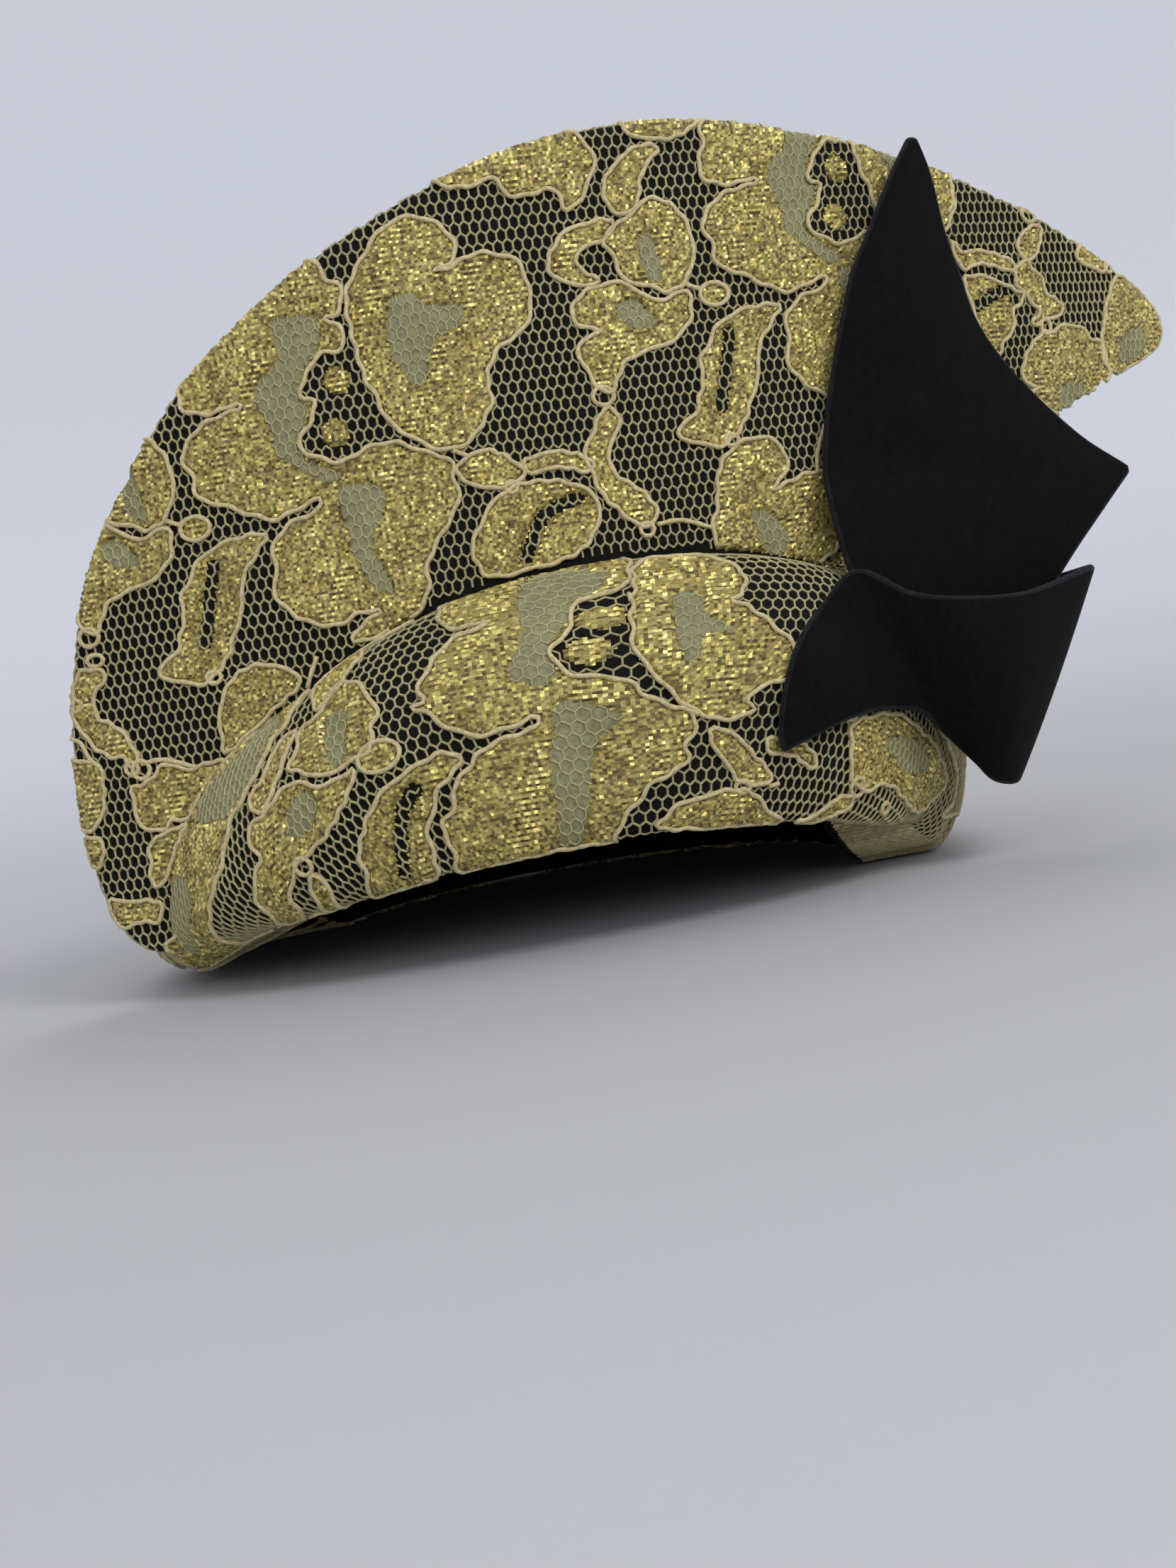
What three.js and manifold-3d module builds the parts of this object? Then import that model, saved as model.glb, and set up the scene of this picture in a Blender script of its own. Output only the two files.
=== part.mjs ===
// Puffed pillbox hat with an upstanding halo brim and a folded felt bow.
// Millimetres, +Z up, the front faces -Y. It stands on the flat turned-under rim of its crown.
import * as THREE from 'three';
import Module from 'manifold-3d';

// Driving dimensions
const SEW_GAP = 0.3;

const CROWN = {
  left: 111,
  right: 105,
  front: 84,
  back: 92,
  height: 97,
  wall: 2.5,
  planPower: 2.15,
  peakShift: 8,
};

// Height of the widest line above the floor, and how far the wall tucks in below it
const BULGE = { front: 54, back: 38, left: 9, right: 38 };
const TUCK = { front: 5, back: 8, left: 10.5, right: 14 };

// The front of the rim is arched up, most of all a little left of the middle
const ARCH = {
  rise: 23.1,
  turn: THREE.MathUtils.degToRad(-6),
  startCosine: 0.3,
  power: 1.15,
};

const HEAD_OPENING = { left: 72, right: 72, front: 70, back: 76 };

// The brim is a fan that sweeps back at both ends
const HALO = {
  thickness: 3,
  depth: -52,
  middleX: 5,
  sweepLeft: 20,
  sweepRight: 16,
  sweepReach: 100,
  leanBack: 0.05,
  leanHeight: 90,
};
// The brim's free edge seen from the front: the straight right cut, round the right corner, over the top
// and round the left tip into the crown
const HALO_EDGE = [
  { x: 168, z: 116 },
  { x: 179.5, z: 120 },
  { x: 185, z: 123 },
  { x: 186.5, z: 127 },
  { x: 185, z: 132 },
  { x: 178.5, z: 138 },
  { x: 166, z: 146 },
  { x: 146, z: 157 },
  { x: 118, z: 168.5 },
  { x: 91, z: 177 },
  { x: 68, z: 182 },
  { x: 46, z: 185 },
  { x: 23, z: 185 },
  { x: 0, z: 181.3 },
  { x: -26, z: 173 },
  { x: -53, z: 160 },
  { x: -82, z: 139 },
  { x: -104, z: 111.5 },
  { x: -114, z: 91 },
  { x: -119.5, z: 70 },
  { x: -121.8, z: 48 },
  { x: -120.3, z: 28.5 },
  { x: -117, z: 18 },
  { x: -113, z: 12.8 },
  { x: -107.5, z: 10.8 },
  { x: -99, z: 13 },
];
// The sewn edge runs inside the crown before it is trimmed: right foot, pull and left foot
const HALO_FOOT = [
  { x: 40, z: 65 },
  { x: -15, z: 90 },
  { x: -88, z: 30 },
];

const FELT = 2;

// Sections of the upright leaf from its base to its tip
const PETAL_SECTIONS = [
  { leftX: 66, leftY: -64.7, leftZ: 64, rightX: 106, rightY: -57, rightZ: 49 },
  { leftX: 64, leftY: -60.5, leftZ: 77, rightX: 124.5, rightY: -51.5, rightZ: 67 },
  { leftX: 64, leftY: -56, leftZ: 91, rightX: 138, rightY: -48, rightZ: 79 },
  { leftX: 65, leftY: -53, leftZ: 98, rightX: 147.5, rightY: -45, rightZ: 87 },
  { leftX: 68, leftY: -51.5, leftZ: 110.5, rightX: 135, rightY: -44.5, rightZ: 97.5 },
  { leftX: 72, leftY: -50, leftZ: 121.5, rightX: 121, rightY: -44, rightZ: 114.5 },
  { leftX: 76.5, leftY: -49.5, leftZ: 133.5, rightX: 113.5, rightY: -43.5, rightZ: 128.5 },
  { leftX: 81, leftY: -48, leftZ: 143.5, rightX: 111, rightY: -43, rightZ: 141 },
  { leftX: 88.5, leftY: -46, leftZ: 155, rightX: 109, rightY: -42, rightZ: 153 },
  { leftX: 96, leftY: -44.5, leftZ: 166.5, rightX: 108, rightY: -41.5, rightZ: 165.5 },
  { leftX: 103, leftY: -42, leftZ: 175.5, rightX: 106, rightY: -41, rightZ: 175.5 },
];
const PETAL_BOW = 3;

// Sections of the wrapped strip from its pointed tail, over the front cup, round the right fold
const WRAP_SECTIONS = [
  { lowX: 35.5, lowY: -82.5, lowZ: 35, highX: 36, highY: -82.5, highZ: 40, bow: 0 },
  { lowX: 43, lowY: -81, lowZ: 37, highX: 38.5, highY: -81.7, highZ: 49, bow: 1 },
  { lowX: 53.5, lowY: -77.5, lowZ: 39.5, highX: 44.5, highY: -78.5, highZ: 59.5, bow: 2 },
  { lowX: 64, lowY: -72.5, lowZ: 40, highX: 54, highY: -71.5, highZ: 67, bow: 2 },
  { lowX: 74, lowY: -70, lowZ: 37.5, highX: 63, highY: -71, highZ: 73, bow: 1 },
  { lowX: 80.5, lowY: -68, lowZ: 30.5, highX: 73, highY: -76, highZ: 66, bow: 3 },
  { lowX: 86, lowY: -68, lowZ: 23.5, highX: 83, highY: -80, highZ: 63, bow: 5 },
  { lowX: 90, lowY: -67, lowZ: 18.5, highX: 100, highY: -77, highZ: 61.5, bow: 5 },
  { lowX: 95.5, lowY: -64, lowZ: 16.5, highX: 119, highY: -66, highZ: 64, bow: 3 },
  { lowX: 99, lowY: -59, lowZ: 17, highX: 127, highY: -58, highZ: 65, bow: 1 },
  { lowX: 97, lowY: -54, lowZ: 20, highX: 123, highY: -50, highZ: 64, bow: 0 },
  { lowX: 93, lowY: -51, lowZ: 26, highX: 108, highY: -46, highZ: 62, bow: 0 },
];

// Facets
const AROUND = 64;
const WALL_LEVELS = [0.92, 0.8, 0.66, 0.52, 0.38, 0.25, 0.12, 0, -0.25, -0.5, -0.75, -1];
const HALO_STEPS = { along: 75, across: 7 };
const PETAL_STEPS = { along: 20, across: 6 };
const WRAP_STEPS = { along: 44, across: 6 };

const lace = new THREE.MeshStandardMaterial({ color: 0x8f7c45, roughness: 0.55, metalness: 0.35 });
const brimLace = new THREE.MeshStandardMaterial({ color: 0x877441, roughness: 0.55, metalness: 0.35 });
const felt = new THREE.MeshStandardMaterial({ color: 0x14151a, roughness: 0.95, metalness: 0 });
const feltFold = new THREE.MeshStandardMaterial({ color: 0x101116, roughness: 0.95, metalness: 0 });

const signedPower = (value, power) => Math.sign(value) * Math.abs(value) ** power;
const lerp = THREE.MathUtils.lerp;

// A closed body from rings of equal length between a first and a last pole
function ringSolid(firstPole, rings, lastPole) {
  const count = rings[0].length;
  const points = [firstPole, ...rings.flat(), lastPole];
  const last = points.length - 1;
  const at = (ring, i) => 1 + ring * count + (i % count);
  const faces = [];
  for (let i = 0; i < count; i += 1) {
    faces.push(0, at(0, i), at(0, i + 1));
    faces.push(last, at(rings.length - 1, i + 1), at(rings.length - 1, i));
    for (let ring = 0; ring + 1 < rings.length; ring += 1) {
      faces.push(at(ring, i), at(ring + 1, i), at(ring + 1, i + 1));
      faces.push(at(ring, i), at(ring + 1, i + 1), at(ring, i + 1));
    }
  }
  return indexedGeometry(points, faces);
}

function indexedGeometry(points, faces) {
  const geometry = new THREE.BufferGeometry().setFromPoints(points);
  geometry.setIndex(faces);
  return geometry;
}

// A sheet of even thickness about surface(u, v), with u and v from 0 to 1
function sheetSolid(steps, thickness, surface) {
  const nudge = 1e-3;
  const front = [];
  const rear = [];
  for (let i = 0; i <= steps.along; i += 1) {
    for (let j = 0; j <= steps.across; j += 1) {
      const u = i / steps.along;
      const v = j / steps.across;
      const alongU = surface(Math.min(1, u + nudge), v).sub(surface(Math.max(0, u - nudge), v));
      const alongV = surface(u, Math.min(1, v + nudge)).sub(surface(u, Math.max(0, v - nudge)));
      const half = alongU.cross(alongV).setLength(thickness / 2);
      front.push(surface(u, v).add(half));
      rear.push(surface(u, v).sub(half));
    }
  }
  const row = steps.across + 1;
  const offset = front.length;
  const faces = [];
  const quad = (a, b, c, d) => faces.push(a, b, c, a, c, d);
  for (let i = 0; i < steps.along; i += 1) {
    for (let j = 0; j < steps.across; j += 1) {
      const a = i * row + j;
      quad(a, a + row, a + row + 1, a + 1);
      quad(offset + a, offset + a + 1, offset + a + row + 1, offset + a + row);
    }
    const low = i * row;
    const high = low + steps.across;
    quad(low, offset + low, offset + low + row, low + row);
    quad(high, high + row, offset + high + row, offset + high);
  }
  const end = steps.along * row;
  for (let j = 0; j < steps.across; j += 1) {
    quad(j, j + 1, offset + j + 1, offset + j);
    quad(end + j, offset + end + j, offset + end + j + 1, end + j + 1);
  }
  return indexedGeometry([...front, ...rear], faces);
}

// A size blended round the plan; the plan angle is 0 at the front and grows to the right
function blended(size, angle) {
  const square = Math.cos(angle) ** 2;
  const end = Math.cos(angle) > 0 ? size.front : size.back;
  const side = Math.sin(angle) > 0 ? size.right : size.left;
  return end * square + side * (1 - square);
}

function planPoint(angle, size, inset) {
  const power = 2 / CROWN.planPower;
  const depth = (Math.cos(angle) > 0 ? size.front : size.back) - inset;
  const width = (Math.sin(angle) > 0 ? size.right : size.left) - inset;
  const x = width * signedPower(Math.sin(angle), power);
  const y = -depth * signedPower(Math.cos(angle), power);
  return new THREE.Vector2(x, y);
}

function rimHeight(angle) {
  const reach = (Math.cos(angle - ARCH.turn) - ARCH.startCosine) / (1 - ARCH.startCosine);
  return ARCH.rise * Math.max(0, reach) ** ARCH.power;
}

// The crown's wall, set in by an inset: level 1 is the apex, 0 the widest line and -1 the rim
function crownPoint(angle, level, inset) {
  const plan = planPoint(angle, CROWN, inset);
  const bulge = blended(BULGE, angle);
  const turn = Math.abs(level) * Math.PI / 2;
  if (level >= 0) {
    const top = CROWN.height - inset;
    plan.multiplyScalar(Math.cos(turn));
    const lift = Math.sin(turn);
    return new THREE.Vector3(plan.x + CROWN.peakShift * lift, plan.y, lerp(bulge, top, lift));
  }
  plan.setLength(plan.length() - blended(TUCK, angle) * (1 - Math.cos(turn)));
  const rim = rimHeight(angle) + Math.max(0, inset);
  return new THREE.Vector3(plan.x, plan.y, lerp(bulge, rim, Math.sin(turn)));
}

function ringOf(pointAt) {
  return Array.from({ length: AROUND }, (_, i) => pointAt((i / AROUND) * Math.PI * 2));
}

const crownRings = (inset) => WALL_LEVELS.map((level) => ringOf((angle) => crownPoint(angle, level, inset)));
const apex = (inset) => new THREE.Vector3(CROWN.peakShift, 0, CROWN.height - inset);

function openingRing(lift) {
  return ringOf((angle) => {
    const edge = planPoint(angle, HEAD_OPENING, 0);
    return new THREE.Vector3(edge.x, edge.y, rimHeight(angle) + lift);
  });
}

function crownGeometry() {
  const rings = [
    ...crownRings(0),
    openingRing(0),
    openingRing(CROWN.wall),
    ...crownRings(CROWN.wall).reverse(),
  ];
  return ringSolid(apex(0), rings, apex(CROWN.wall));
}

// The crown as a filled block, larger by the sewing gap, which trims what is sewn to it
function crownBlock() {
  const floor = new THREE.Vector3(0, 0, -SEW_GAP);
  return ringSolid(apex(-SEW_GAP), crownRings(-SEW_GAP), floor);
}

// Depth of the brim at a place seen from the front
function haloDepth(x, z) {
  const reach = (x - HALO.middleX) / HALO.sweepReach;
  const sweep = reach < 0 ? HALO.sweepLeft : HALO.sweepRight;
  return HALO.depth + sweep * reach * reach + HALO.leanBack * (z - HALO.leanHeight);
}

const edgeCurve = new THREE.CatmullRomCurve3(
  HALO_EDGE.map((point) => new THREE.Vector3(point.x, 0, point.z)),
  false,
  'catmullrom',
);

const footCurve = new THREE.QuadraticBezierCurve(
  ...HALO_FOOT.map((point) => new THREE.Vector2(point.x, point.z)),
);

function haloGeometry(cutter) {
  const sheet = sheetSolid(HALO_STEPS, HALO.thickness, (u, v) => {
    const foot = footCurve.getPoint(u);
    const edge = edgeCurve.getPoint(u);
    const x = lerp(foot.x, edge.x, v);
    const z = lerp(foot.y, edge.z, v);
    return new THREE.Vector3(x, haloDepth(x, z), z);
  });
  return subtract(sheet, cutter);
}

// A point between two neighbouring rows of a table of sections
function rowBetween(rows, share) {
  const place = share * (rows.length - 1);
  const index = Math.min(Math.floor(place), rows.length - 2);
  return { from: rows[index], to: rows[index + 1], part: place - index };
}

function petalGeometry() {
  const left = new THREE.CatmullRomCurve3(
    PETAL_SECTIONS.map((row) => new THREE.Vector3(row.leftX, row.leftY, row.leftZ)),
  );
  return sheetSolid(PETAL_STEPS, FELT, (u, v) => {
    const { from, to, part } = rowBetween(PETAL_SECTIONS, u);
    const right = new THREE.Vector3(
      lerp(from.rightX, to.rightX, part),
      lerp(from.rightY, to.rightY, part),
      lerp(from.rightZ, to.rightZ, part),
    );
    const point = right.lerp(left.getPoint(u), v);
    point.y -= PETAL_BOW * 4 * v * (1 - v) * Math.sin(Math.PI * u);
    return point;
  });
}

function wrapGeometry() {
  const low = new THREE.CatmullRomCurve3(
    WRAP_SECTIONS.map((row) => new THREE.Vector3(row.lowX, row.lowY, row.lowZ)),
  );
  const high = new THREE.CatmullRomCurve3(
    WRAP_SECTIONS.map((row) => new THREE.Vector3(row.highX, row.highY, row.highZ)),
  );
  return sheetSolid(WRAP_STEPS, FELT, (u, v) => {
    const { from, to, part } = rowBetween(WRAP_SECTIONS, u);
    const point = low.getPoint(u).lerp(high.getPoint(u), v);
    point.y -= lerp(from.bow, to.bow, part) * 4 * v * (1 - v);
    return point;
  });
}

const wasm = await Module();
wasm.setup();

function toSolid(geometry) {
  const vertProperties = new Float32Array(geometry.getAttribute('position').array);
  const triVerts = new Uint32Array(geometry.getIndex().array);
  return new wasm.Manifold(new wasm.Mesh({ numProp: 3, vertProperties, triVerts }));
}

function subtract(geometry, cutter) {
  const mesh = toSolid(geometry).subtract(toSolid(cutter)).getMesh();
  const result = new THREE.BufferGeometry();
  result.setAttribute('position', new THREE.BufferAttribute(mesh.vertProperties, 3));
  result.setIndex(new THREE.BufferAttribute(mesh.triVerts, 1));
  return result;
}

const hat = new THREE.Group();

function addPiece(name, geometry, material) {
  const mesh = new THREE.Mesh(geometry, material);
  mesh.name = name;
  hat.add(mesh);
}

addPiece('crown', crownGeometry(), lace);
addPiece('halo', haloGeometry(crownBlock()), brimLace);
addPiece('bow_petal', petalGeometry(), felt);
addPiece('bow_wrap', wrapGeometry(), feltFold);

// The origin is the middle of the hat's box, on the floor
const box = new THREE.Box3().setFromObject(hat);
const middle = box.getCenter(new THREE.Vector3());
hat.position.set(-middle.x, -middle.y, -box.min.z);

export default hat;
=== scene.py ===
"""A puffed pillbox hat with an upstanding halo brim, in corded gold lace, and a black felt bow."""
import math

import bpy
import numpy as np
from mathutils import Matrix, Vector


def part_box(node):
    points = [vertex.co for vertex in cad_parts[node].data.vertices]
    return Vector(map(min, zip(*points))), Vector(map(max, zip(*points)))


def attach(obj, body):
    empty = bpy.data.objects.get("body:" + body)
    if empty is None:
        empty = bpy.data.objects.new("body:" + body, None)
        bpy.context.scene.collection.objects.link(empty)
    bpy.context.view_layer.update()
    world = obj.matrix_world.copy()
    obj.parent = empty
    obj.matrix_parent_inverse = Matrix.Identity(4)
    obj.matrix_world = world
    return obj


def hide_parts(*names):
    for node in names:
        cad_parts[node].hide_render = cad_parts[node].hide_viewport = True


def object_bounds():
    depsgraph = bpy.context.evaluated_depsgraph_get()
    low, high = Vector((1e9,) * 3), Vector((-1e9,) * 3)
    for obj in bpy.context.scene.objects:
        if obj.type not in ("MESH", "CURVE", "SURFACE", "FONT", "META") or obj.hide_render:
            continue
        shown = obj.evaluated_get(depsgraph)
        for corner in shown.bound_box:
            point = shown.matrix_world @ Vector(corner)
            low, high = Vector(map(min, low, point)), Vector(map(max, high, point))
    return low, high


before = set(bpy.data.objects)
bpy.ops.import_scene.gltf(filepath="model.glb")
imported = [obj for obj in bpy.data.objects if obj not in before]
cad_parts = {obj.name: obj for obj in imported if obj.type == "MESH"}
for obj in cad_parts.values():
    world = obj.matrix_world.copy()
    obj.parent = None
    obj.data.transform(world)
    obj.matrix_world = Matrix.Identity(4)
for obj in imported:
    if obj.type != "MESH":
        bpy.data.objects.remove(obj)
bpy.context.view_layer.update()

# Sizes are millimetres in the hat's frame: the origin under the crown's middle, -Y the front, +Z up
MM = 0.001
SEED = 7
# Least values, which keep divisions and slopes in bounds
TINY = 1e-9
LEAST_SHARE = 1e-6
LEAST_STEEP = 0.1

# Rounds of the small repeated solutions
SIGHT_ROUNDS = 12
SETTLE_ROUNDS = 3
SEAT_ROUNDS = 24

# The crown's form, and the grid of its cloth
CROWN_LEFT = 111.0
CROWN_RIGHT = 105.0
CROWN_FRONT = 84.0
CROWN_BACK = 92.0
CROWN_HEIGHT = 97.0
CROWN_WALL = 2.5
PLAN_POWER = 2.15
PEAK_SHIFT = 8.0
BULGE_HEIGHT = {"front": 54.0, "back": 38.0, "left": 9.0, "right": 38.0}
WALL_TUCK = {"front": 5.0, "back": 8.0, "left": 10.5, "right": 14.0}
ARCH_RISE = 23.1
ARCH_TURN = math.radians(-6)
ARCH_START = 0.3
ARCH_POWER = 1.15
OPENING_HALF_WIDTH = 72.0
OPENING_FRONT = 70.0
OPENING_BACK = 76.0
CLOTH_AROUND = 240
CLOTH_RINGS = 90
LINING_RINGS = 50
APEX_SHARE = 0.01

# The crown is drawn in at the brim's seam, rolls in under its front rim and has tucks at its right end
GROOVE_DEPTH = 4.0
GROOVE_WIDTH = 6.0
GROOVE_RIGHT_END = (74.0, 96.0)
GROOVE_LEFT_END = (62.0, 94.0)
PUFF_DEPTH = 1.6
PUFF_HEIGHTS = (4.0, 20.0)
LIP_RISE = 9.0
LIP_TURN = 0.6
LIP_RISE_FROM = (0.0, 0.5)
END_RISE = 3.4
END_RISE_SIDE = (0.55, 0.85)
END_RISE_FRONT = (-0.25, 0.2)
TURN_UNDER = 11.0
TURN_UNDER_START = (0.9, 1.35)
TURN_UNDER_REACH = (-0.4, 2.2)
TURN_UNDER_MARGIN = 1.0
TUCK_DEPTH = 1.6
TUCK_COUNT = 46
TUCK_MIDDLE = math.radians(95)
TUCK_SPREAD = math.radians(38)
TUCK_SHARES = (0.62, 0.92)
TUCK_WANDER = 1.5
TUCK_WANDER_COUNT = 9
TUCK_SHARPNESS = 3

# The halo brim, swept back at both ends
HALO_HALF = 1.5
HALO_DEPTH = -52.0
HALO_MIDDLE_X = 5.0
HALO_SWEEP_LEFT = 20.0
HALO_SWEEP_RIGHT = 16.0
HALO_SWEEP_REACH = 100.0
HALO_LEAN = 0.05
HALO_LEAN_HEIGHT = 90.0
# The brim's free edge seen from the front, from the right cut over the top and round the left tip
HALO_EDGE = np.array([
    (168, 116), (179.5, 120), (185, 123), (186.5, 127), (185, 132), (178.5, 138), (166, 146),
    (146, 157), (118, 168.5), (91, 177), (68, 182), (46, 185), (23, 185), (0, 181.3), (-26, 173),
    (-53, 160), (-82, 139), (-104, 111.5), (-114, 91), (-119.5, 70), (-121.8, 48), (-120.3, 28.5),
    (-117, 18), (-113, 12.8), (-107.5, 10.8), (-99, 13),
])
HALO_FOOT = np.array([(40.0, 65.0), (-15.0, 90.0), (-88.0, 30.0)])
HALO_SEAT = 5.2
HALO_REACH = (-140.0, 200.0)
HALO_SAMPLES = 681
HALO_ROWS = 200
HALO_COLUMNS = 60

# The felt bow, and the steps round the edge of a sheet
FELT_HALF = 1.0
FELT_MARGIN_LIMIT = 0.42
ROUND_STEPS = 5

# Sections of the felt leaf from its base to its tip: left x, y, z and right x, y, z
PETAL_SECTIONS = np.array([
    (66, -64.7, 64, 106, -57, 49),
    (64, -60.5, 77, 124.5, -51.5, 67),
    (64, -56, 91, 138, -48, 79),
    (65, -53, 98, 147.5, -45, 87),
    (68, -51.5, 110.5, 135, -44.5, 97.5),
    (72, -50, 121.5, 121, -44, 114.5),
    (76.5, -49.5, 133.5, 113.5, -43.5, 128.5),
    (81, -48, 143.5, 111, -43, 141),
    (88.5, -46, 155, 109, -42, 153),
    (96, -44.5, 166.5, 108, -41.5, 165.5),
    (103, -42, 175.5, 106, -41, 175.5),
])
PETAL_CORNER_ROW = 3
PETAL_BOW = 3.0

# Sections of the felt strip from its tail round its fold: low x, y, z, high x, y, z and forward bow
WRAP_SECTIONS = np.array([
    (35.5, -82.5, 35, 36, -82.5, 40, 0),
    (43, -81, 37, 38.5, -81.7, 49, 1),
    (53.5, -77.5, 39.5, 44.5, -78.5, 59.5, 2),
    (64, -72.5, 40, 54, -71.5, 67, 2),
    (74, -70, 37.5, 63, -71, 73, 1),
    (80.5, -68, 30.5, 73, -76, 66, 3),
    (86, -68, 23.5, 83, -80, 63, 5),
    (90, -67, 18.5, 100, -77, 61.5, 5),
    (95.5, -64, 16.5, 119, -66, 64, 3),
    (99, -59, 17, 127, -58, 65, 1),
    (97, -54, 20, 123, -50, 64, 0),
    (93, -51, 26, 108, -46, 62, 0),
])

# The lace: a hexagon net, gold knitted fills, plain ground and a raised cord
CONE = 0.8
NET_PITCH = 2.3
NET_ROW = 2.7
NET_UPRIGHT = 1.7
NET_HALF_WIDTH = 0.33
NET_LIFT = 0.3
FILL_STEP = (0.7, 0.65)
FILL_LIFT = 0.5
FILL_JITTER = 0.4
FILL_BORDER_LIFT = 0.1
PLAIN_LIFT = 0.22
# Shares of bright gold (lamé with painted glints), matt gold and dark gap (painted shade between
# stitches) in the rows of a course: between the wales, then on them
KNIT_COURSE = np.array([
    [(0.50, 0.44, 0.06), (0.12, 0.44, 0.44)],
    [(0.14, 0.82, 0.04), (0.06, 0.72, 0.22)],
])
KNIT_WALE = 3
KNIT_RISE = (0.25, 0.0)
# How far the wales and courses wander, in cells, and the cells to a radian along and across them
WALE_WANDER = (2.2, 8, 21)
COURSE_WANDER = (1.4, 10, 17)
SLIT_HALF = 1.5
SLIT_STEP = 0.9
CORD_RADIUS = 0.58
CORD_STEP = 1.1
CORD_LIFT = 0.72
CORD_SIDES = 6
CORD_TWIST = 1.9
CORD_PLY = 0.14
CORD_WAVE = 0.3
CORD_WAVE_LENGTH = 6.5
CORD_WAVE_DRIFT = 2
CORD_WAVE_DRIFTS = 3
CURVE_STEPS = 12
LEAST_STEPS = 3
OVAL_POINTS = 12
DOT_RADIUS = 3.4
FILLED_RING = 3.0
OVERLAP_LIMIT = 0.12
HIDDEN_LIMIT = 0.5
RIM_MARGIN = 0.6
SEAT_MARGIN = 1.0
# How far round the brim's edge, in radians, the lace of its front and its back goes
FRONT_LACE_TURN = 2.2
BACK_LACE_TURN = 0.8
SPRIGS = ("three_lobed_flower", "side_flower", "stem")
SPRIG_STEP = 10.0
SPRIG_ROOM = 1.2
SPRIG_START = 1.15

# The camera that took the photograph, placed in the hat's frame
CAMERA_PLACE = np.array([-72.81, -459.70, 65.41])
CAMERA_TARGET = np.array([5.56, 3.32, 29.49])
CAMERA_ROLL = math.radians(9.6)
CAMERA_FOCAL_PIXELS = 2475.0
PHOTO_SIZE = np.array([1659.0, 2212.0])
PIXELS_PER_MM = 5.5
SENSOR = 36.0

# The stage in metres, with each light's place, size and power
CAMERA_CLIP = 0.01
FLOOR_HOLE = 0.02
FLOOR_RADIUS = 1.5
FLOOR_RINGS = 8
FLOOR_AROUND = 96
# The floor's colour near the hat is darker as painted shade, fading to the pale colour far away
FLOOR_NEAR_PAINTED_SHADE = (0.45, 0.45, 0.46)
FLOOR_FAR = (0.88, 0.895, 0.94)
FLOOR_SPREAD = (0.4, 0.4, 0.4)
WALL_BEND = 0.9
WALL_BEND_STEPS = 16
WALL_TOP = 2.6
LIGHTS = [
    ("key", (0.6, -1.15, 1.2), 0.6, 9.5),
    ("fill", (-1.0, -0.9, 0.7), 0.8, 1.0),
    ("front", (0.1, -1.4, 0.6), 0.5, 2.8),
    ("top", (0.2, 0.7, 1.4), 0.8, 4.0),
]
LIGHT_TARGET = (0.0, 0.0, 0.08)
WORLD_COLOR = (0.95, 0.96, 1.0, 1)
WORLD_STRENGTH = 0.7

# The looks
WHITE = (1.0, 1.0, 1.0)
GOLD_SHADE = (0.80, 0.76, 0.68)
NAP_STRETCH = (1.0, 1.0, 0.45)
THREAD_SHADING = ((60.0, 60.0, 60.0), (0.82, 0.82, 0.8))
TURNED_UNDER_SHADING = ((70.0, 70.0, 420.0), (0.50, 0.42, 0.30))
# Places of the sockets for colours on a mix node
MIX_FIRST = 6
MIX_SECOND = 7
MIX_RESULT = 2
# Cloth: pale and dark colour
CLOTHS = {
    "black_cloth": ((0.006, 0.0062, 0.0045), (0.003, 0.0032, 0.0022)),
    "lining_cloth": ((0.022, 0.021, 0.021), (0.010, 0.010, 0.010)),
}
# Felt: pale and dark colour and sheen
FELTS = {
    "felt": ((0.0032, 0.0036, 0.0036), (0.001, 0.001, 0.001), 0.005),
    # The cut edge is made paler as a painted sheen, where the fuzz of the felt catches the light
    "felt_cut_edge_painted_sheen": ((0.014, 0.015, 0.017), (0.004, 0.004, 0.005), 0.06),
}
# Gold thread: bright and dull colour, roughness and metallic
GOLDS = {
    # The bright gold is metallic lamé thread made brighter as painted glints; the gap gold is painted
    # shade between the stitches
    "gold_bright_painted_glint": ((0.95, 0.84, 0.31), (0.68, 0.55, 0.14), 0.32, 0.5),
    "gold_matt": ((0.43, 0.36, 0.115), (0.28, 0.225, 0.058), 0.5, 0.2),
    "gold_gap_painted_shade": ((0.17, 0.126, 0.036), (0.085, 0.061, 0.016), 0.6, 0.1),
}
# Matt thread: pale and dark colour, scale of the twist, and scale and colour of the shading
THREADS = {
    "plain_ground": ((0.30, 0.29, 0.15), (0.185, 0.178, 0.085), 900.0, *THREAD_SHADING),
    # The turned-under ground is paler partly in its own colour and partly as painted light, lifting the
    # downward-facing roll out of its shade
    "turned_under_ground_painted_light": ((0.84, 0.72, 0.50), (0.60, 0.49, 0.32), 700.0, *TURNED_UNDER_SHADING),
    "net_thread": ((0.50, 0.455, 0.235), (0.34, 0.30, 0.14), 1400.0, *THREAD_SHADING),
    "cord_thread": ((0.70, 0.59, 0.33), (0.47, 0.38, 0.18), 1100.0, *THREAD_SHADING),
}

# The lace repeats along two lines on the brim and goes on round the crown, shrunk and turned a little
LACE_REPEAT = np.array([(130.5, 35.3), (-35.3, 130.5)])
CROWN_LACE_SCALE = 0.895
CROWN_LACE_TURN = math.radians(-10.2)
CROWN_LACE_OFFSET = np.array([20.1, -214.1])
BACK_LACE_OFFSET = np.array([60.0, 0.0])
HALO_REPEATS = 2
CROWN_REPEATS = 3
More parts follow.
